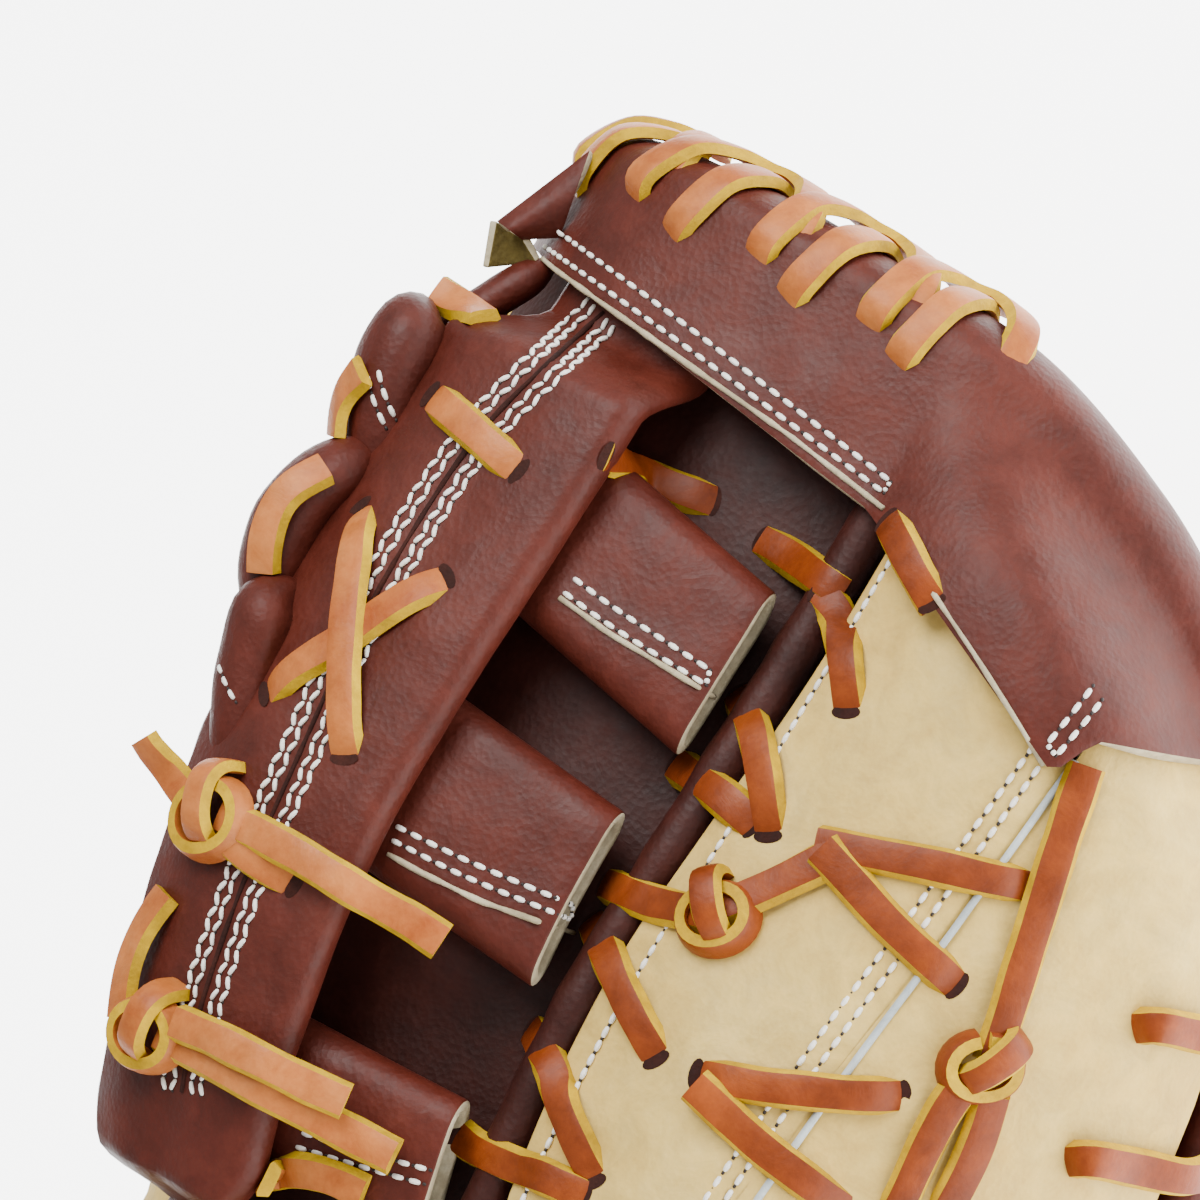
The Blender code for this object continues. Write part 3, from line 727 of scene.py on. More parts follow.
def tubeRows(points, radius, count=12, pucker=0.0, puckerPitch=9.0):
    rows = []
    side = None
    for k, point in enumerate(points):
        run = unit(heading(points, k))
        if side is None:
            side = np.cross(run, (0.0, 0.0, 1.0))
        side = unit(side - run * np.dot(side, run))
        other = np.cross(run, side)
        swell = radius + pucker * noise.noise(Vector(point) / puckerPitch)
        rows.append([point + (side * math.cos(a) + other * math.sin(a)) * swell for a in circle(count)])
    return rows


def solidFromRings(name, rows, material):
    made = gridMesh(name, rows, [material], closed=True)
    mesh = made.data
    shape = bmesh.new()
    shape.from_mesh(mesh)
    bmesh.ops.holes_fill(shape, edges=[edge for edge in shape.edges if edge.is_boundary])
    bmesh.ops.recalc_face_normals(shape, faces=shape.faces)
    shape.to_mesh(mesh)
    shape.free()
    return made


webBinding = {"radius": 3.5, "corner": 12.0, "top": 0.60, "drop": 5.4, "out": 0.8, "panelGap": 1.4, "handGap": 1.0}


def makeWebBinding():
    rise = leather["palmTop"] + leather["seatGap"] + webBinding["radius"]
    corner, crotch = webBinding["corner"], pattern["crotchY"]
    top = webBinding["top"] * pattern["tipReach"]
    edge = webEdge(crotch) + webBinding["out"]
    centreY = crotch - webBinding["drop"] + corner
    ys = [top + (crotch + corner - top) * k / 14 for k in range(15)]
    angles = [math.pi / 2 * k / 5 for k in range(1, 5)]
    line = [(-(webEdge(y) + webBinding["out"]), y) for y in ys]
    line += [(-edge + corner - corner * math.cos(a), centreY - corner * math.sin(a)) for a in angles]
    line += [((edge - corner) * (k / 3 - 1), centreY - corner) for k in range(7)]
    line += [(edge - corner + corner * math.sin(a), centreY - corner * math.cos(a)) for a in angles]
    line += [(webEdge(y) + webBinding["out"], y) for y in reversed(ys)]
    route = [place(s, y, rise) for s, y in line]
    rows = tubeRows(smoothLine(route, 1.6), webBinding["radius"], 14, 0.5, 7.0)
    # the binding roll is the darker brown: painted shade
    keepPiece(solidFromRings("webBindingRoll", rows, shadedBrown), "web_edge_binding")


rim = {"radius": 4.2, "clear": 0.5}


def rimLine():
    thumb, finger = pattern["thumbReach"], pattern["fingerReach"]
    line = [(share * thumb, topY(share * thumb)) for share in np.linspace(0.86, 1.0, 7)]
    line += [(thumb, topY(thumb) + (heelY(thumb) - topY(thumb)) * k / 14) for k in range(1, 14)]
    line += [(s, heelY(s)) for s in (share * (thumb if share > 0 else finger) for share in np.linspace(1.0, -1.0, 23))]
    line += [(-finger, topY(-finger) + (heelY(-finger) - topY(-finger)) * k / 14) for k in range(13, 0, -1)]
    line += [(-share * finger, topY(-share * finger)) for share in np.linspace(1.0, 0.30, 16)]
    return line


def makeRim():
    line = rimLine()
    h = leather["palmTop"] - leather["palm"] / 2
    seats = [place(s, y, h) for s, y in line]
    route = []
    for k, (s, y) in enumerate(line):
        out = unit(np.cross(normalAt(s, y), heading(seats, k)))
        route.append(seats[k] + out * (rim["radius"] + rim["clear"]))
    rows = tubeRows(smoothLine(route, 2.2), rim["radius"], 14, 0.4, 8.0)
    rows = [[np.array((p[0], p[1], max(0.0, p[2]))) for p in row] for row in rows]
    keepPiece(solidFromRings("rimBindingRoll", rows, brown), "rim_binding")


makePalm()
makeBackPanel("thumbInnerLeather", "thumb_inner_back", 0.0, backs["seam"], 1, (24, 60))
makeBackPanel("thumbOuterLeather", "thumb_outer_back", backs["seam"], 1.0, 1, (26, 60))
starts = (0.0,) + fingerStarts + (1.0,)
for index, node in enumerate(("index_back", "middle_back", "ring_back", "pinky_back")):
    makeBackPanel(node.replace("_back", "Leather"), node, starts[index], starts[index + 1], -1, (20, 54))
makeHandBack()
makeWristStrap()
makeWebSheet()
for node, row in bars.items():
    makeBar(node, row)
makePost()
makeStrap()
makeWebBinding()
makeRim()
print("leather pieces made:", len(pieces))


# The joint of the thumb panels: the inner panel's turned edge, with pale piping on its outer side
thumbJoint = {"low": -165.0, "high": 26.0, "rows": (-5.2, -3.0), "piping": 0.5, "turnedWide": 2.4,
              "turnedHigh": 1.05, "sides": 10, "rings": 120}
thumbYs = np.linspace(thumbJoint["low"], thumbJoint["high"], thumbJoint["rings"])


def seamS(y):
    inner = panelEdge(y)
    lean = backs["lean"] * max(y, 1.6 * pattern["crotchY"])
    return inner + (pattern["thumbReach"] - inner) * (backs["seam"] + lean)


def makeJointTube(name, offset, wide, high, drop, material):
    rows = []
    for y in thumbYs:
        s = seamS(y) + offset
        rows.append([place(s + wide * math.cos(a), y, backRise(s, y) + drop + high * math.sin(a))
                     for a in circle(thumbJoint["sides"])])
    keepPiece(solidFromRings(name, rows, material))


makeJointTube("thumbSeamTurnedEdge", -1.6, thumbJoint["turnedWide"], thumbJoint["turnedHigh"], -0.9, cream)
makeJointTube("thumbSeamPiping", 0.4, thumbJoint["piping"], thumbJoint["piping"], 0.25, finishes["palePiping"])


# Rays from the camera set each lace and stitch on the leather that carries it
def carrierTree():
    verts, faces = [], []
    for made in pieces:
        base = len(verts)
        verts += [made.matrix_world @ v.co for v in made.data.vertices]
        faces += [[base + i for i in polygon.vertices] for polygon in made.data.polygons]
    return BVHTree.FromPolygons(verts, faces)


allLeather = carrierTree()


def photoRay(px, py):
    half = photo["size"] / 2
    target = viewCentre + viewRight * ((px - half) / photo["pxPerMm"] * mm)
    target += viewUp * ((half - py) / photo["pxPerMm"] * mm)
    start = camera.location.copy()
    return start, (target - start).normalized()


def photoHit(px, py):                         # distance and normal of the leather there, None where there is none
    start, ray = photoRay(px, py)
    hit, normal, index, distance = allLeather.ray_cast(start, ray)
    if hit is None:
        return None
    return distance, -normal if normal.dot(ray) > 0 else normal


def photoPoint(px, py, distance):             # at this distance from the camera, in millimetres
    start, ray = photoRay(px, py)
    return np.array(start + ray * distance) / mm


def finerRoute(route, step=15.0):             # photo points no further apart than this, lifts in between
    fine = [route[0]]
    for a, b in zip(route, route[1:]):
        count = max(1, int(math.hypot(b[0] - a[0], b[1] - a[1]) / step))
        fine += [tuple(u + (v - u) * k / count for u, v in zip(a, b)) for k in range(1, count + 1)]
    return fine


def seatRoute(route):                         # rows of photo x, y and lift: points and normals in millimetres
    found = [photoHit(px, py) for px, py, lift in route]
    known = [k for k, item in enumerate(found) if item]
    points, normals = [], []
    for k, (px, py, lift) in enumerate(route if known else ()):
        if found[k]:
            distance, normal = found[k]
            points.append(photoPoint(px, py, distance) + np.array(normal) * lift)
        else:                                 # past the outline: keeps its neighbours' distance
            depth = float(np.interp(k, known, [found[i][0] for i in known]))
            normal = found[min(known, key=lambda i: abs(i - k))][1]
            points.append(photoPoint(px, py, depth - lift * mm * 0.5))
        normals.append(np.array(normal))
    return points, normals


lace = {"width": 5.6, "thick": 1.9, "step": 1.1, "slope": 0.65}
# laces that take the darker copy, painted shade: those on the right-hand side, in the web's gaps, on the rim and on
# the finger backs
shadedLaces = ("sheet", "cap", "binding", "thumb", "zigzag", "right", "rim", "finger")


def makeLace(name, points, normals, width=lace["width"]):
    line = smoothLine([np.concatenate([p, n]) for p, n in zip(points, normals)], lace["step"])
    spots = [row[:3] for row in line]
    half, deep, slope = width / 2, lace["thick"] / 2, lace["slope"]
    section = ((-half, -deep * 0.7), (-half + slope, deep * 0.9), (-half + slope * 1.5, deep), (-half / 3, deep * 1.1),
               (half / 3, deep * 1.1), (half - slope * 1.5, deep), (half - slope, deep * 0.9), (half, -deep * 0.7),
               (half * 0.8, -deep), (-half * 0.8, -deep))
    rows = []
    for k, spot in enumerate(spots):
        run = unit(heading(spots, k))
        up = unit(line[k][3:])
        up = unit(up - run * np.dot(up, run))
        side = np.cross(run, up) * (1.0 + 0.07 * noise.noise(Vector(spot) / 6.0))
        rows.append([spot + side * u + up * v for u, v in section])
    made = solidFromRings(name, rows, shadedLace if name.startswith(shadedLaces) else tan)
    made.data.materials.append(laceCore)
    wide = len(section)
    for polygon in made.data.polygons:        # the ends and both cut edges show the core
        places = sorted(i % wide for i in polygon.vertices)
        if len(places) > 4 or places in ([0, 0, 1, 1], [6, 6, 7, 7]):
            polygon.material_index = 1
    made.data.set_sharp_from_angle(angle=math.radians(42.0))
    rideMitt(made)


def photoLace(name, route):
    points, normals = seatRoute(finerRoute(route))
    if len(points) < 2:
        print("no seat for", name)
        return
    for turn in range(2):                     # the lace spans small steps of the leather
        points = [points[0]] + [(a + 2 * b + c) / 4 for a, b, c in zip(points, points[1:], points[2:])] + [points[-1]]
        normals = [normals[0]] + [a + 2 * b + c for a, b, c in zip(normals, normals[1:], normals[2:])] + [normals[-1]]
        normals = [unit(n) for n in normals]
    makeLace(name, points, normals)


# Padded folds of the index finger that look out behind the post: photo x, y and radius in mm
fingerFolds = {
    "indexFoldUpper": {"anchor": (440, 420), "back": 15.0,
                       "route": [(436, 306, 1.0), (428, 312, 4.4), (414, 332, 6.2), (398, 374, 6.6), (384, 430, 6.2),
                                 (372, 478, 4.0), (370, 500, 1.0)]},
    "indexRimRoll": {"anchor": (440, 420), "back": 22.0,
                     "route": [(552, 264, 1.0), (532, 276, 2.6), (492, 300, 2.9), (454, 328, 2.9), (442, 362, 1.0)]},
    "indexFoldMiddle": {"anchor": (330, 600), "back": 15.0,
                        "route": [(380, 440, 1.0), (352, 464, 5.0), (310, 500, 6.0), (282, 548, 5.8), (270, 600, 4.6),
                                  (280, 640, 1.0)]},
    "indexFoldLower": {"anchor": (270, 760), "back": 13.0,
                       "route": [(300, 584, 1.0), (272, 604, 5.2), (256, 656, 5.6), (244, 710, 5.0), (240, 770, 4.0),
                                 (250, 820, 1.0)]},
}


def makeFold(name, fold):
    distance = photoHit(*fold["anchor"])[0] + fold["back"] * mm
    line = [np.concatenate([photoPoint(px, py, distance), [radius]]) for px, py, radius in fold["route"]]
    fine = smoothLine(line, 1.6)
    rows = []
    for k, spot in enumerate(fine):
        run = unit(heading(fine, k)[:3])
        side = unit(np.cross(run, np.array(viewBack)))
        other = np.cross(side, run)
        ring = []
        for a in circle(22):
            spoke = side * math.cos(a) + other * math.sin(a) * 1.35
            dent = 1.0 + 0.10 * noise.noise(Vector(spot[:3] + spoke * spot[3]) / 9.0)
            ring.append(spot[:3] + spoke * (spot[3] * dent))
        rows.append(ring)
    keepPiece(solidFromRings(name, rows, brown))


for name, fold in fingerFolds.items():
    makeFold(name, fold)


# The strap's open left end, where its fold shows the flesh side: corners as photo x and y
openEnd = {"anchor": (575, 235), "back": 4.0, "wall": 1.3, "steps": 10, "bulge": 2.2}
openPatches = {
    "strapOpenOuter": {"face": brown, "corners": [(590, 150), (497, 221), (522, 240), (560, 238)], "bulge": 1.0},
    "strapOpenInner": {"face": fleshShade, "corners": [(497, 221), (488, 268), (536, 262), (522, 240)], "bulge": -1.0},
}


def makePatch(name, patch):
    distance = photoHit(*openEnd["anchor"])[0]
    steps = openEnd["steps"]
    a, b, c, d = (np.array(corner, dtype=float) for corner in patch["corners"])
    rows = []
    for j in range(steps + 1):
        v = j / steps
        back = openEnd["back"] - patch["bulge"] * openEnd["bulge"] * math.sin(math.pi * v)
        line = [(a * (1 - u) + b * u) * (1 - v) + (d * (1 - u) + c * u) * v for u in np.arange(steps + 1) / steps]
        rows.append([photoPoint(px, py, distance + back * mm) for px, py in line])
    made = leatherShell(name, rows, openEnd["wall"], patch["face"], flesh, lambda point: viewBack, 0.3)
    keepPiece(made)


for name, patch in openPatches.items():
    makePatch(name, patch)
allLeather = carrierTree()


# Laces on the post, the web and the thumb, as photo x, y and lift in millimetres; ends dip into their holes
photoLaces = {
    "postShortLace": [(430, 394, -1.6), (441, 403, 1.2), (476, 433, 1.7), (508, 462, 1.2), (519, 471, -1.6)],
    "postCrossUnderLace": [(264, 694, -1.6), (280, 684, 1.1), (330, 652, 1.3), (400, 606, 1.3), (434, 585, 1.1),
                           (447, 576, -1.6)],
    "postCrossOverLace": [(360, 506, -1.6), (363, 524, 1.2), (358, 580, 2.0), (352, 635, 3.4), (350, 690, 2.2),
                          (346, 742, 1.2), (344, 758, -1.6)],
    "sheetUpperLace": [(606, 456, -0.6), (622, 464, 1.2), (660, 485, 1.6), (700, 499, 1.2), (714, 501, -1.0)],
    "sheetLowerLace": [(762, 540, -0.6), (776, 548, 1.2), (806, 568, 1.6), (832, 586, 1.2), (844, 594, -0.6)],
    "capEdgeLace": [(886, 520, -1.0), (897, 532, 1.2), (912, 560, 1.4), (926, 590, 1.2), (932, 604, -1.4)],
    "bindingWrapOne": [(820, 590, -1.0), (832, 606, 2.0), (846, 640, 2.2), (852, 675, 1.6), (849, 698, 1.0),
                       (846, 712, -1.6)],
    "bindingWrapTwo": [(738, 694, -1.0), (748, 712, 2.0), (764, 750, 2.2), (772, 795, 1.6), (770, 822, 1.0),
                       (768, 836, -1.6)],
    "bindingCrossTwo": [(676, 764, -1.0), (690, 774, 1.6), (718, 792, 2.0), (744, 814, 1.4), (754, 826, -1.2)],
    "bindingWrapThree": [(592, 922, -1.0), (602, 940, 2.0), (622, 980, 2.2), (642, 1020, 1.6), (652, 1048, 1.0),
                         (656, 1060, -1.6)],
    "bindingWrapFour": [(532, 1030, -1.0), (543, 1048, 2.0), (562, 1090, 2.2), (582, 1140, 1.6), (590, 1168, 1.0),
                        (593, 1182, -1.6)],
    "bindingCrossFour": [(456, 1136, -1.0), (474, 1146, 1.8), (520, 1165, 2.2), (568, 1186, 1.4), (584, 1196, -1.0)],
    "thumbKnotIn": [(606, 884, -1.0), (620, 892, 1.6), (650, 903, 1.6), (684, 914, 2.0), (712, 920, 2.4)],
    "thumbKnotOut": [(726, 914, 2.6), (750, 901, 1.8), (790, 882, 1.5), (826, 862, 1.4), (842, 854, 1.3)],
    "zigzagUpperOne": [(820, 846, 1.2), (846, 850, 1.5), (900, 860, 1.4), (970, 874, 1.4), (1018, 884, 1.0),
                       (1032, 887, -1.6)],
    "zigzagUpperTwo": [(828, 852, 2.9), (846, 874, 2.2), (880, 915, 1.4), (925, 958, 1.3), (948, 978, 1.0),
                       (957, 986, -1.6)],
    "zigzagLowerOne": [(696, 1074, -1.6), (712, 1078, 1.1), (770, 1088, 1.4), (840, 1094, 1.4), (890, 1096, 1.0),
                       (904, 1096, -1.6)],
    "zigzagLowerTwo": [(700, 1086, 2.8), (722, 1110, 2.2), (765, 1150, 1.4), (815, 1188, 1.3), (850, 1214, -1.4)],
    "rightLongLace": [(986, 1060, 2.6), (1004, 1016, 1.7), (1030, 935, 1.5), (1060, 845, 1.4), (1078, 790, 1.4),
                      (1086, 766, 1.5)],
    "rightLowerLaceOne": [(962, 1080, 2.4), (944, 1104, 1.6), (924, 1145, 1.4), (900, 1200, 1.2), (888, 1228, -1.4)],
    "rightLowerLaceTwo": [(988, 1092, 2.4), (984, 1120, 1.6), (968, 1160, 1.4), (946, 1206, 1.2), (936, 1232, -1.4)],
    "upperKnotTailLeft": [(206, 806, 3.0), (192, 788, 4.2), (176, 772, 5.0), (158, 762, 5.0), (147, 748, 5.0),
                          (143, 738, 5.0)],
    "upperKnotHoleStrand": [(238, 842, 2.4), (262, 862, 1.6), (284, 876, 1.0), (295, 884, -1.6)],
    "lowerKnotStrandUp": [(138, 1018, 3.2), (140, 990, 3.4), (150, 950, 3.0), (162, 912, 1.8), (170, 894, 0.6)],
    "leftShortLace": [(436, 290, 0.8), (446, 298, 1.6), (466, 310, 1.8), (484, 322, 0.8)],
    "leftUpperLoop": [(336, 436, 0.6), (338, 410, 1.6), (350, 390, 2.0), (368, 372, 1.4)],
    "leftLowerLoop": [(264, 572, 0.6), (266, 540, 1.6), (284, 500, 2.0), (308, 480, 1.8), (326, 470, 0.8)],
    "bottomLeftLace": [(262, 1176, 1.6), (290, 1164, 2.2), (330, 1170, 2.2), (368, 1192, 1.4)],
}
freeTails = {                                 # they hang clear of the leather from their first point on
    "upperKnotTailRight": [(222, 816, 3.0), (256, 832, 3.6), (300, 856, 4.0), (360, 893, 4.0), (412, 922, 4.0),
                           (442, 942, 4.2)],
    "lowerKnotTailRight": [(160, 1034, 3.2), (196, 1052, 3.2), (260, 1088, 3.4), (330, 1124, 3.4), (394, 1157, 3.8)],
    "lowerKnotTailOver": [(176, 1022, 5.2), (214, 1038, 5.6), (262, 1062, 5.6), (310, 1086, 5.6), (346, 1102, 6.0)],
}


def makeTail(name, route):                    # never further from the camera than the nearest leather so far
    nearest, line = None, []
    for px, py, lift in finerRoute(route):
        seat = photoHit(px, py)
        if seat:
            nearest = seat[0] if nearest is None else min(nearest, seat[0])
        line.append(photoPoint(px, py, nearest - lift * mm))
    makeLace(name, line, [np.array(viewBack)] * len(line))


for name, route in photoLaces.items():
    photoLace(name, route)
for name, route in freeTails.items():
    makeTail(name, route)
print("photo laces made")


def crestPoint(s, u, lift):                   # on the strap: u millimetres down its back from the crest
    column = strapColumn(s)
    lengths = np.concatenate([[0.0], np.cumsum([np.linalg.norm(b - a) for a, b in zip(column, column[1:])])])
    crest = max(range(len(column)), key=lambda k: column[k][1])
    at = lengths[crest] - u
    k = int(np.clip(np.searchsorted(lengths, at) - 1, 0, len(column) - 2))
    share = (at - lengths[k]) / (lengths[k + 1] - lengths[k])
    point = column[k] + (column[k + 1] - column[k]) * share
    ahead = column[k + 1] - column[k]
    beside = strapColumn(s + 1.0)[k] - column[k]
    normal = unit(np.cross(beside, ahead))
    if normal[1] < 0 and normal[2] < 0:
        normal = -normal
    return point + normal * lift, normal


crestLoops = ((-24.0, 20.0), (-6.0, 23.0), (14.0, 23.0), (33.0, 20.0))     # start and width across, in mm
crestShapes = {                               # share of the width, millimetres down the back, lift
    "crestLoop": ((0.00, 16.0, -1.0), (0.02, 13.0, 1.3), (0.07, 6.0, 1.9), (0.18, 0.0, 2.6), (0.38, -3.5, 3.0),
                  (0.62, -3.0, 3.0), (0.82, 1.0, 2.4), (0.95, 6.0, 1.5), (1.00, 10.5, -1.2)),
    "crestStrand": ((0.30, 19.0, -1.2), (0.34, 16.0, 1.2), (0.42, 9.0, 1.4), (0.50, 2.0, 1.3), (0.54, -3.0, 0.6)),
}
for number, (start, width) in enumerate(crestLoops, 1):
    for name, shape in crestShapes.items():
        seats = [crestPoint(start + share * width, u, lift) for share, u, lift in shape]
        makeLace("%s%d" % (name, number), [p for p, n in seats], [n for p, n in seats])
print("crest loops made")

knots = {                                     # photo centre, ring radius in mm, direction of the band in degrees
    "upperKnot": {"x": 222, "y": 822, "radius": 5.6, "band": 75.0, "lift": 2.6},
    "lowerKnot": {"x": 158, "y": 1034, "radius": 5.2, "band": 60.0, "lift": 2.6},
    "thumbKnot": {"x": 722, "y": 922, "radius": 4.8, "band": 95.0, "lift": 2.0},
    "rightKnot": {"x": 978, "y": 1066, "radius": 4.8, "band": 35.0, "lift": 2.0},
}


def makeKnot(name, knot):                     # a ring of lace on its edge, and a band drawn over it
    points, normals = seatRoute([(knot["x"], knot["y"], 0.0)])
    if not points:
        print("no seat for", name)
        return
    up = normals[0]
    side = unit(np.array(viewRight) - up * np.dot(np.array(viewRight), up))
    other = np.cross(up, side)
    if np.dot(other, np.array(viewUp)) < 0:
        other = -other
    ring, outward = [], []
    for a in np.linspace(math.radians(100.0), math.radians(440.0), 26):
        spoke = side * math.cos(a) + other * math.sin(a)
        sway = 1.0 + 0.10 * math.cos(2 * a)
        ring.append(points[0] + spoke * knot["radius"] * sway + up * (knot["lift"] + 0.5 * math.sin(a)))
        outward.append(spoke + up * 0.25)
    makeLace(name + "Ring", ring, outward, 4.6)
    a = math.radians(knot["band"])
    run = side * math.cos(a) + other * math.sin(a)
    shape = ((1.45, -0.6), (1.36, 3.2), (1.0, 5.6), (0.45, 6.2), (-0.15, 5.6), (-0.55, 3.4), (-0.62, 1.0))
    band = [points[0] + run * knot["radius"] * along + up * h for along, h in shape]
    lean = [up + run * 1.2 * along for along, h in shape]
    makeLace(name + "Band", band, lean, 5.0)


for name, knot in knots.items():
    makeKnot(name, knot)
print("knots made")


# Stitches: joined small capsules, each seated on its leather
def capsule(verts, faces, start, end, up, radius):
    run = end - start
    length = np.linalg.norm(run)
    run = run / length
    side = unit(np.cross(run, up))
    other = np.cross(side, run)
    base, sides = len(verts), 6
    rings = ((0.0, 0.35), (0.1, 0.8), (0.5, 1.0), (0.9, 0.8), (1.0, 0.35))
    for share, size in rings:
        sink = 0.30 * radius * (1.0 - 4.0 * (share - 0.5) ** 2)
        centre = start + run * (length * share) + other * (sink - radius * 0.15)
        for a in circle(sides):
            spoke = side * math.cos(a) + other * math.sin(a) * 0.8
            verts.append(tuple((centre + spoke * radius * size) * mm))
    last = len(rings) - 1
    faces += gridFaces(base, sides, last)
    faces.append(tuple(base + k for k in reversed(range(sides))))
    faces.append(tuple(base + last * sides + k for k in range(sides)))


stitch = {"length": 1.9, "pitch": 2.6, "radius": 0.42}
shadeVerts, shadeFaces = [], []               # painted shade of the needle holes between the stitches


def makeStitches(name, seats, pitch=stitch["pitch"], slant=0.0):    # seats: points and normals of each row
    verts, faces = [], []
    for points, normals in seats:
        line = smoothLine([np.concatenate([p, n]) for p, n in zip(points, normals)], pitch)
        for k, (a, b) in enumerate(zip(line, line[1:])):
            up = unit(a[3:])
            run = b[:3] - a[:3]
            lean = unit(np.cross(run, up)) * slant * (1 if k % 2 else -1)
            start = a[:3] + run * 0.12 + up * 0.12 - lean
            end = a[:3] + run * (0.12 + stitch["length"] / pitch * 0.92) + up * 0.12 + lean
            capsule(verts, faces, start, end, up, stitch["radius"])
            hole = b[:3] - run * 0.10
            capsule(shadeVerts, shadeFaces, hole, hole + run * 0.24, up, stitch["radius"] * 0.62)
    rideMitt(linkMesh(name, verts, faces, [whiteThread]))


def photoSeats(rows):                         # rows of photo x and y
    lines = [smoothLine([(float(x), float(y), 0.0) for x, y in row], 14.0) for row in rows]
    return [seats for seats in map(seatRoute, lines) if len(seats[0]) > 2]


def patternSeats(rows):                       # rows of pattern s, y and height
    return [([place(s, y, h) for s, y, h in row], [normalAt(s, y) for s, y, h in row]) for row in rows]


stitchRows = {                                # photo polylines of the white double rows
    "strapStitches": [[(556, 230), (700, 336), (891, 482)], [(544, 246), (690, 350), (884, 493)],
                      [(891, 482), (884, 493)]],
    "topBarStitches": [[(572, 577), (620, 612), (710, 670)], [(562, 591), (612, 627), (706, 685)],
                       [(710, 670), (706, 685)]],
    "middleBarStitches": [[(394, 825), (470, 862), (573, 905)], [(390, 839), (466, 877), (570, 919)],
                          [(573, 905), (570, 919)]],
    "bottomBarStitches": [[(300, 1132), (365, 1152), (430, 1170)], [(294, 1146), (360, 1166), (424, 1184)]],
    "upperFoldStitches": [[(368, 374), (374, 402), (386, 428)], [(378, 368), (384, 394), (396, 420)]],
    "lowerFoldStitches": [[(219, 664), (226, 684), (236, 702)]],
    "capStitches": [[(1047, 744), (1070, 716), (1093, 686)], [(1056, 756), (1080, 728), (1102, 700)],
                    [(1047, 744), (1056, 756)]],
}
for name, rows in stitchRows.items():
    makeStitches(name, photoSeats(rows))


rawEdges = {                                  # photo polylines of the pale raw edges under the stitched flaps
    "strapRawEdge": [(542, 260), (600, 302), (690, 366), (790, 436), (884, 509)],
    "topBarRawEdge": [(560, 598), (610, 634), (660, 664), (714, 697)],
    "middleBarRawEdge": [(388, 854), (420, 872), (480, 901), (540, 922), (574, 933)],
    "capRawEdge": [(893, 530), (930, 588), (975, 655), (1020, 726), (1044, 766)],
}


def makeRawEdge(name, route, lift, radius, material):
    points, normals = seatRoute(finerRoute([(x, y, lift) for x, y in route]))
    rows = tubeRows(smoothLine(points, 2.0), radius, 6, 0.2, 3.0)
    rideMitt(solidFromRings(name, rows, material))


for name, route in rawEdges.items():
    makeRawEdge(name, route, 0.25, 0.4, flesh)


# The post's raw centre seam, as photo x and y, with looped double rows each side, as distances in photo pixels
postSeam = {"line": [(604, 312), (493, 418), (422, 516), (352, 640), (296, 762), (248, 872), (212, 972), (190, 1050),
                     (182, 1092)],
            "rows": (-19.0, -9.5, 9.5, 19.0), "pitch": 2.0, "slant": 0.38, "radius": 0.42}


def makePostSeam():
    line = smoothLine([(float(x), float(y)) for x, y in postSeam["line"]], 20.0)
    runs = [unit(heading(line, k)) for k in range(len(line))]
    rows = [[(spot[0] - run[1] * offset, spot[1] + run[0] * offset) for spot, run in zip(line, runs)]
            for offset in postSeam["rows"]]
    makeStitches("postStitches", photoSeats(rows), postSeam["pitch"], postSeam["slant"])
    makeRawEdge("postRawSeam", line, 0.0, postSeam["radius"], seamEdgeAndHoleShade)


makePostSeam()


def onBack(s, y, lift=0.1):                   # a stitch point just over the back's leather
    return s, y, backRise(s, y) + lift


makeStitches("thumbSeamStitches", patternSeats([[onBack(seamS(y) + side, y) for y in thumbYs]
                                                for side in thumbJoint["rows"]]))


def fingerSeam(start, y):                     # s of a seam between two fingers
    inner = panelEdge(y)
    return -(inner + (pattern["fingerReach"] - inner) * start)


def bindingStitches():                        # beside the web binding on the cream leather, and round the panels
    row = [onBack(panelEdge(y) + 1.5, y) for y in np.linspace(-84.0, 40.0, 70)]
    makeStitches("bindingStitches", patternSeats([row]), 2.2)
    rows = [[onBack(-(panelEdge(y) + 1.5), y) for y in np.linspace(-84.0, 50.0, 70)]]
    for start in fingerStarts:                # a row each side of every finger seam
        for side in (-2.2, 2.2):
            spots = [(fingerSeam(start, y) + side, y) for y in np.linspace(-118.0, 48.0, 90)]
            rows.append([onBack(s, y) for s, y in spots if y < topY(s) - 7.0])
    makeStitches("fingerSeamStitches", patternSeats(rows))
    rows = []
    for side in (-1, 1):
        y = backs["wristY"] + side * (backs["wristWidth"] / 2 - 2.6)
        top = leather["shell"] + 2 * leather["seatGap"] + 0.1
        rows.append([onBack(s, y, top) for s in np.linspace(-101.0, 83.0, 110)])
    makeStitches("wristStitches", patternSeats(rows))


bindingStitches()


def rimLacing():                              # a lace whipped round the rim, in and out of the palm's edge
    thumb, finger = pattern["thumbReach"], pattern["fingerReach"]
    spots = [(thumb, y, 1) for y in np.arange(-150.0, 0.0, 21.0)]
    spots += [(-finger, y, -1) for y in np.arange(-150.0, -18.0, 21.0)]
    shape = ((-15.0, -0.5), (-12.5, 2.6), (-6.0, 4.2), (0.5, 4.6), (4.0, 3.2), (5.6, 0.6))
    for number, (s, y, side) in enumerate(spots):
        points, normals = [], []
        rise = backRise(s - side * 15.0, y)
        for k, (ds, h) in enumerate(shape):
            lift = rise if k < 2 else 3.0 + (rise - 3.0) * (4 - k) / 4
            points.append(place(s + side * ds, y + 1.6 * k, max(lift, 0.0) + h))
            out = np.array((side * 1.0, 0.0, 0.0))
            normals.append(unit(normalAt(s, y) * math.cos(k * 0.3) + out * math.sin(k * 0.3)))
        points = [np.array((p[0], p[1], max(p[2], 1.2))) for p in points]
        makeLace("rimLace%02d" % number, points, normals)


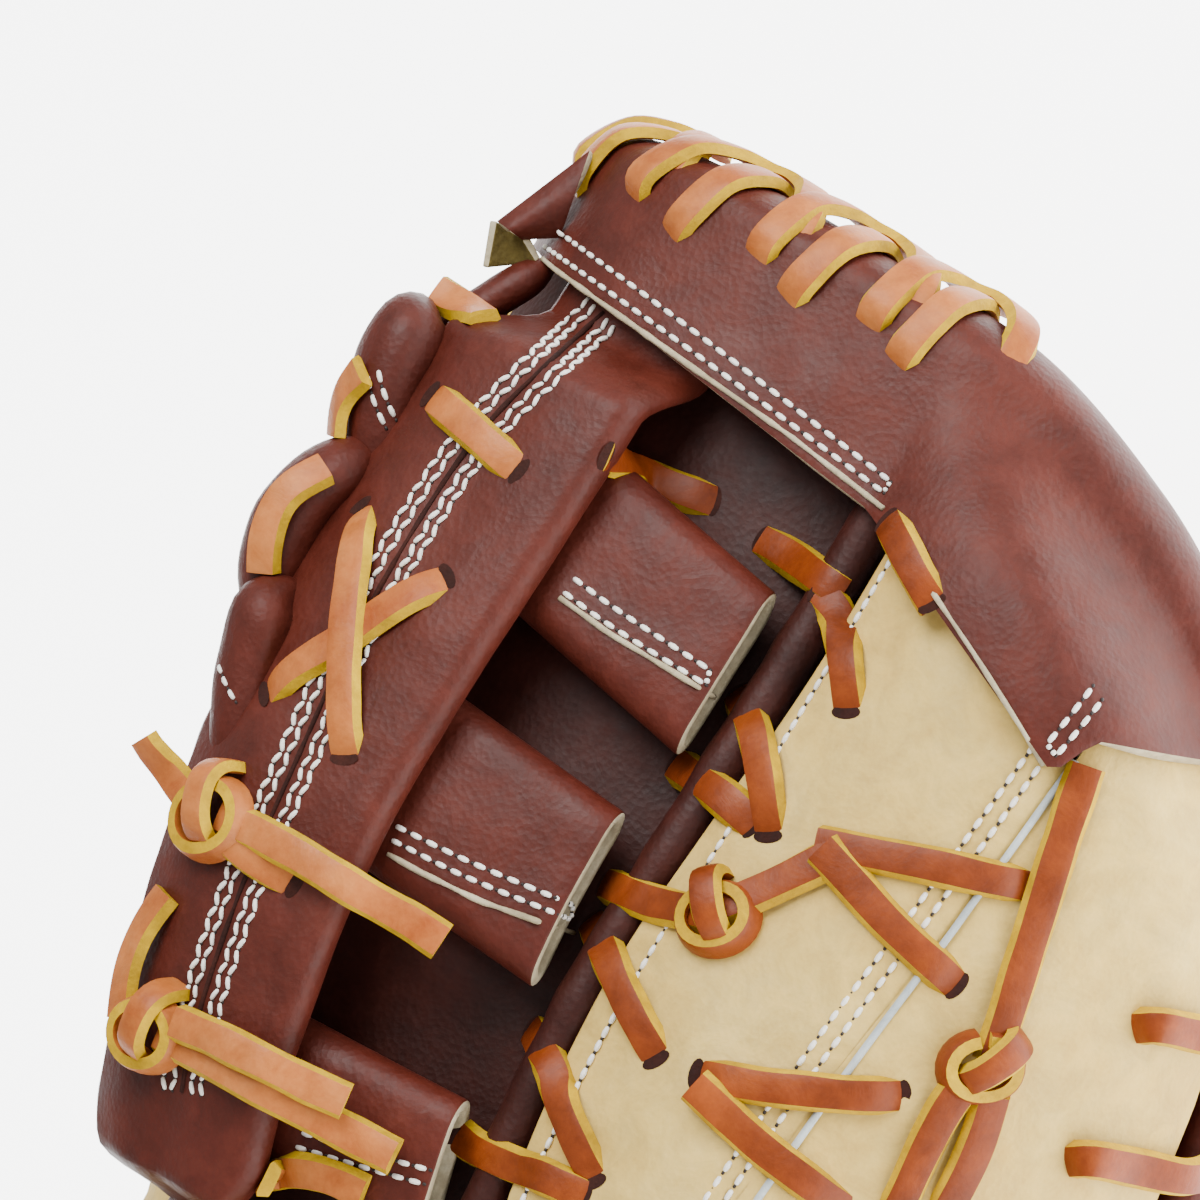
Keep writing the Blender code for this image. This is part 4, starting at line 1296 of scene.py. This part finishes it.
def fingerTipLacing():                        # short laces bridging the finger seams near the tips
    shape = [(-7.0, -1.4), (-5.2, 1.2), (0.0, 3.4), (5.2, 1.2), (7.0, -1.4)]
    seats = [(fingerSeam(start, 20.0), back) for start in fingerStarts for back in (12.0, 24.0)]
    for number, (s, back) in enumerate(seats):
        y = topY(s) - back
        points = [place(s + ds, y + ds * 0.25, backRise(s + ds, y) + h) for ds, h in shape]
        makeLace("fingerLace%d" % number, points, [normalAt(s + ds, y) for ds, h in shape])


rimLacing()
fingerTipLacing()
rideMitt(linkMesh("needleHoleShade", shadeVerts, shadeFaces, [holeShade]))
print("stitches and rim lacing made")


# Lace holes: painted shade, dark punched slits where the laces dip in
holeSize = {"across": 2.3, "along": 1.1, "sides": 16}


def laceHoleShade():
    verts, faces = [], []
    for name, route in photoLaces.items():
        for end, near in ((route[0], route[1]), (route[-1], route[-2])):
            if end[2] >= 0:
                continue
            points, normals = seatRoute([(end[0], end[1], 0.0), (near[0], near[1], 0.0)])
            if not points:
                continue
            up = normals[0]
            run = points[0] - points[1]
            run = unit(run - up * np.dot(run, up))
            side = np.cross(up, run)
            base, wide = len(verts), holeSize["sides"]
            for share, h in ((1.0, 0.04), (0.75, 0.08), (0.1, 0.06)):
                for a in circle(wide):
                    spot = side * (math.cos(a) * holeSize["across"]) + run * (math.sin(a) * holeSize["along"])
                    verts.append(tuple((points[0] + spot * share + up * h) * mm))
            faces += gridFaces(base, wide, 2)
            faces.append(tuple(base + 2 * wide + k for k in range(wide)))
    rideMitt(linkMesh("laceHoleShade", verts, faces, [seamEdgeAndHoleShade]))


laceHoleShade()

# Pale floor and soft studio light
studio = {"floor": "#FBFBFA", "size": 4.0, "keyPower": 22.0, "fillPower": 2.0, "worldLight": 0.85,
          "floorGlow": 5.0}


def makeFloor():
    material, tree, shader = newMaterial("paintedFloor", None, 0.85, 0.2)
    shader.inputs["Base Color"].default_value = linearColour(studio["floor"])
    shader.inputs["Emission Color"].default_value = linearColour("#FFFFFF")
    shader.inputs["Emission Strength"].default_value = studio["floorGlow"]
    half = studio["size"] / 2
    corners = [(-half, -half, 0), (half, -half, 0), (half, half, 0), (-half, half, 0)]
    floor = linkMesh("studioFloor", corners, [(0, 1, 2, 3)], [material])


def addLight(name, direction, distance, size, power):
    data = bpy.data.lights.new(name, "AREA")
    data.shape = "DISK"
    data.size = size
    data.energy = power
    light = bpy.data.objects.new(name, data)
    bpy.context.scene.collection.objects.link(light)
    aim = Vector((0.0, 0.03, 0.08))
    where = direction.normalized()
    light.location = aim + where * distance
    light.rotation_euler = where.to_track_quat("Z", "Y").to_euler()


makeFloor()
addLight("keyLight", viewUp * 1.0 - viewRight * 0.35 + viewBack * 0.9, 1.1, 0.8, studio["keyPower"])
addLight("fillLight", viewRight * 0.9 + viewBack * 1.0 + viewUp * 0.1, 1.3, 1.0, studio["fillPower"])
world = bpy.data.worlds.new("studioWorld")
bpy.context.scene.world = world
world.use_nodes = True
world.node_tree.nodes["Background"].inputs["Color"].default_value = linearColour("#FFFFFF")
world.node_tree.nodes["Background"].inputs["Strength"].default_value = studio["worldLight"]
print("studio lit")
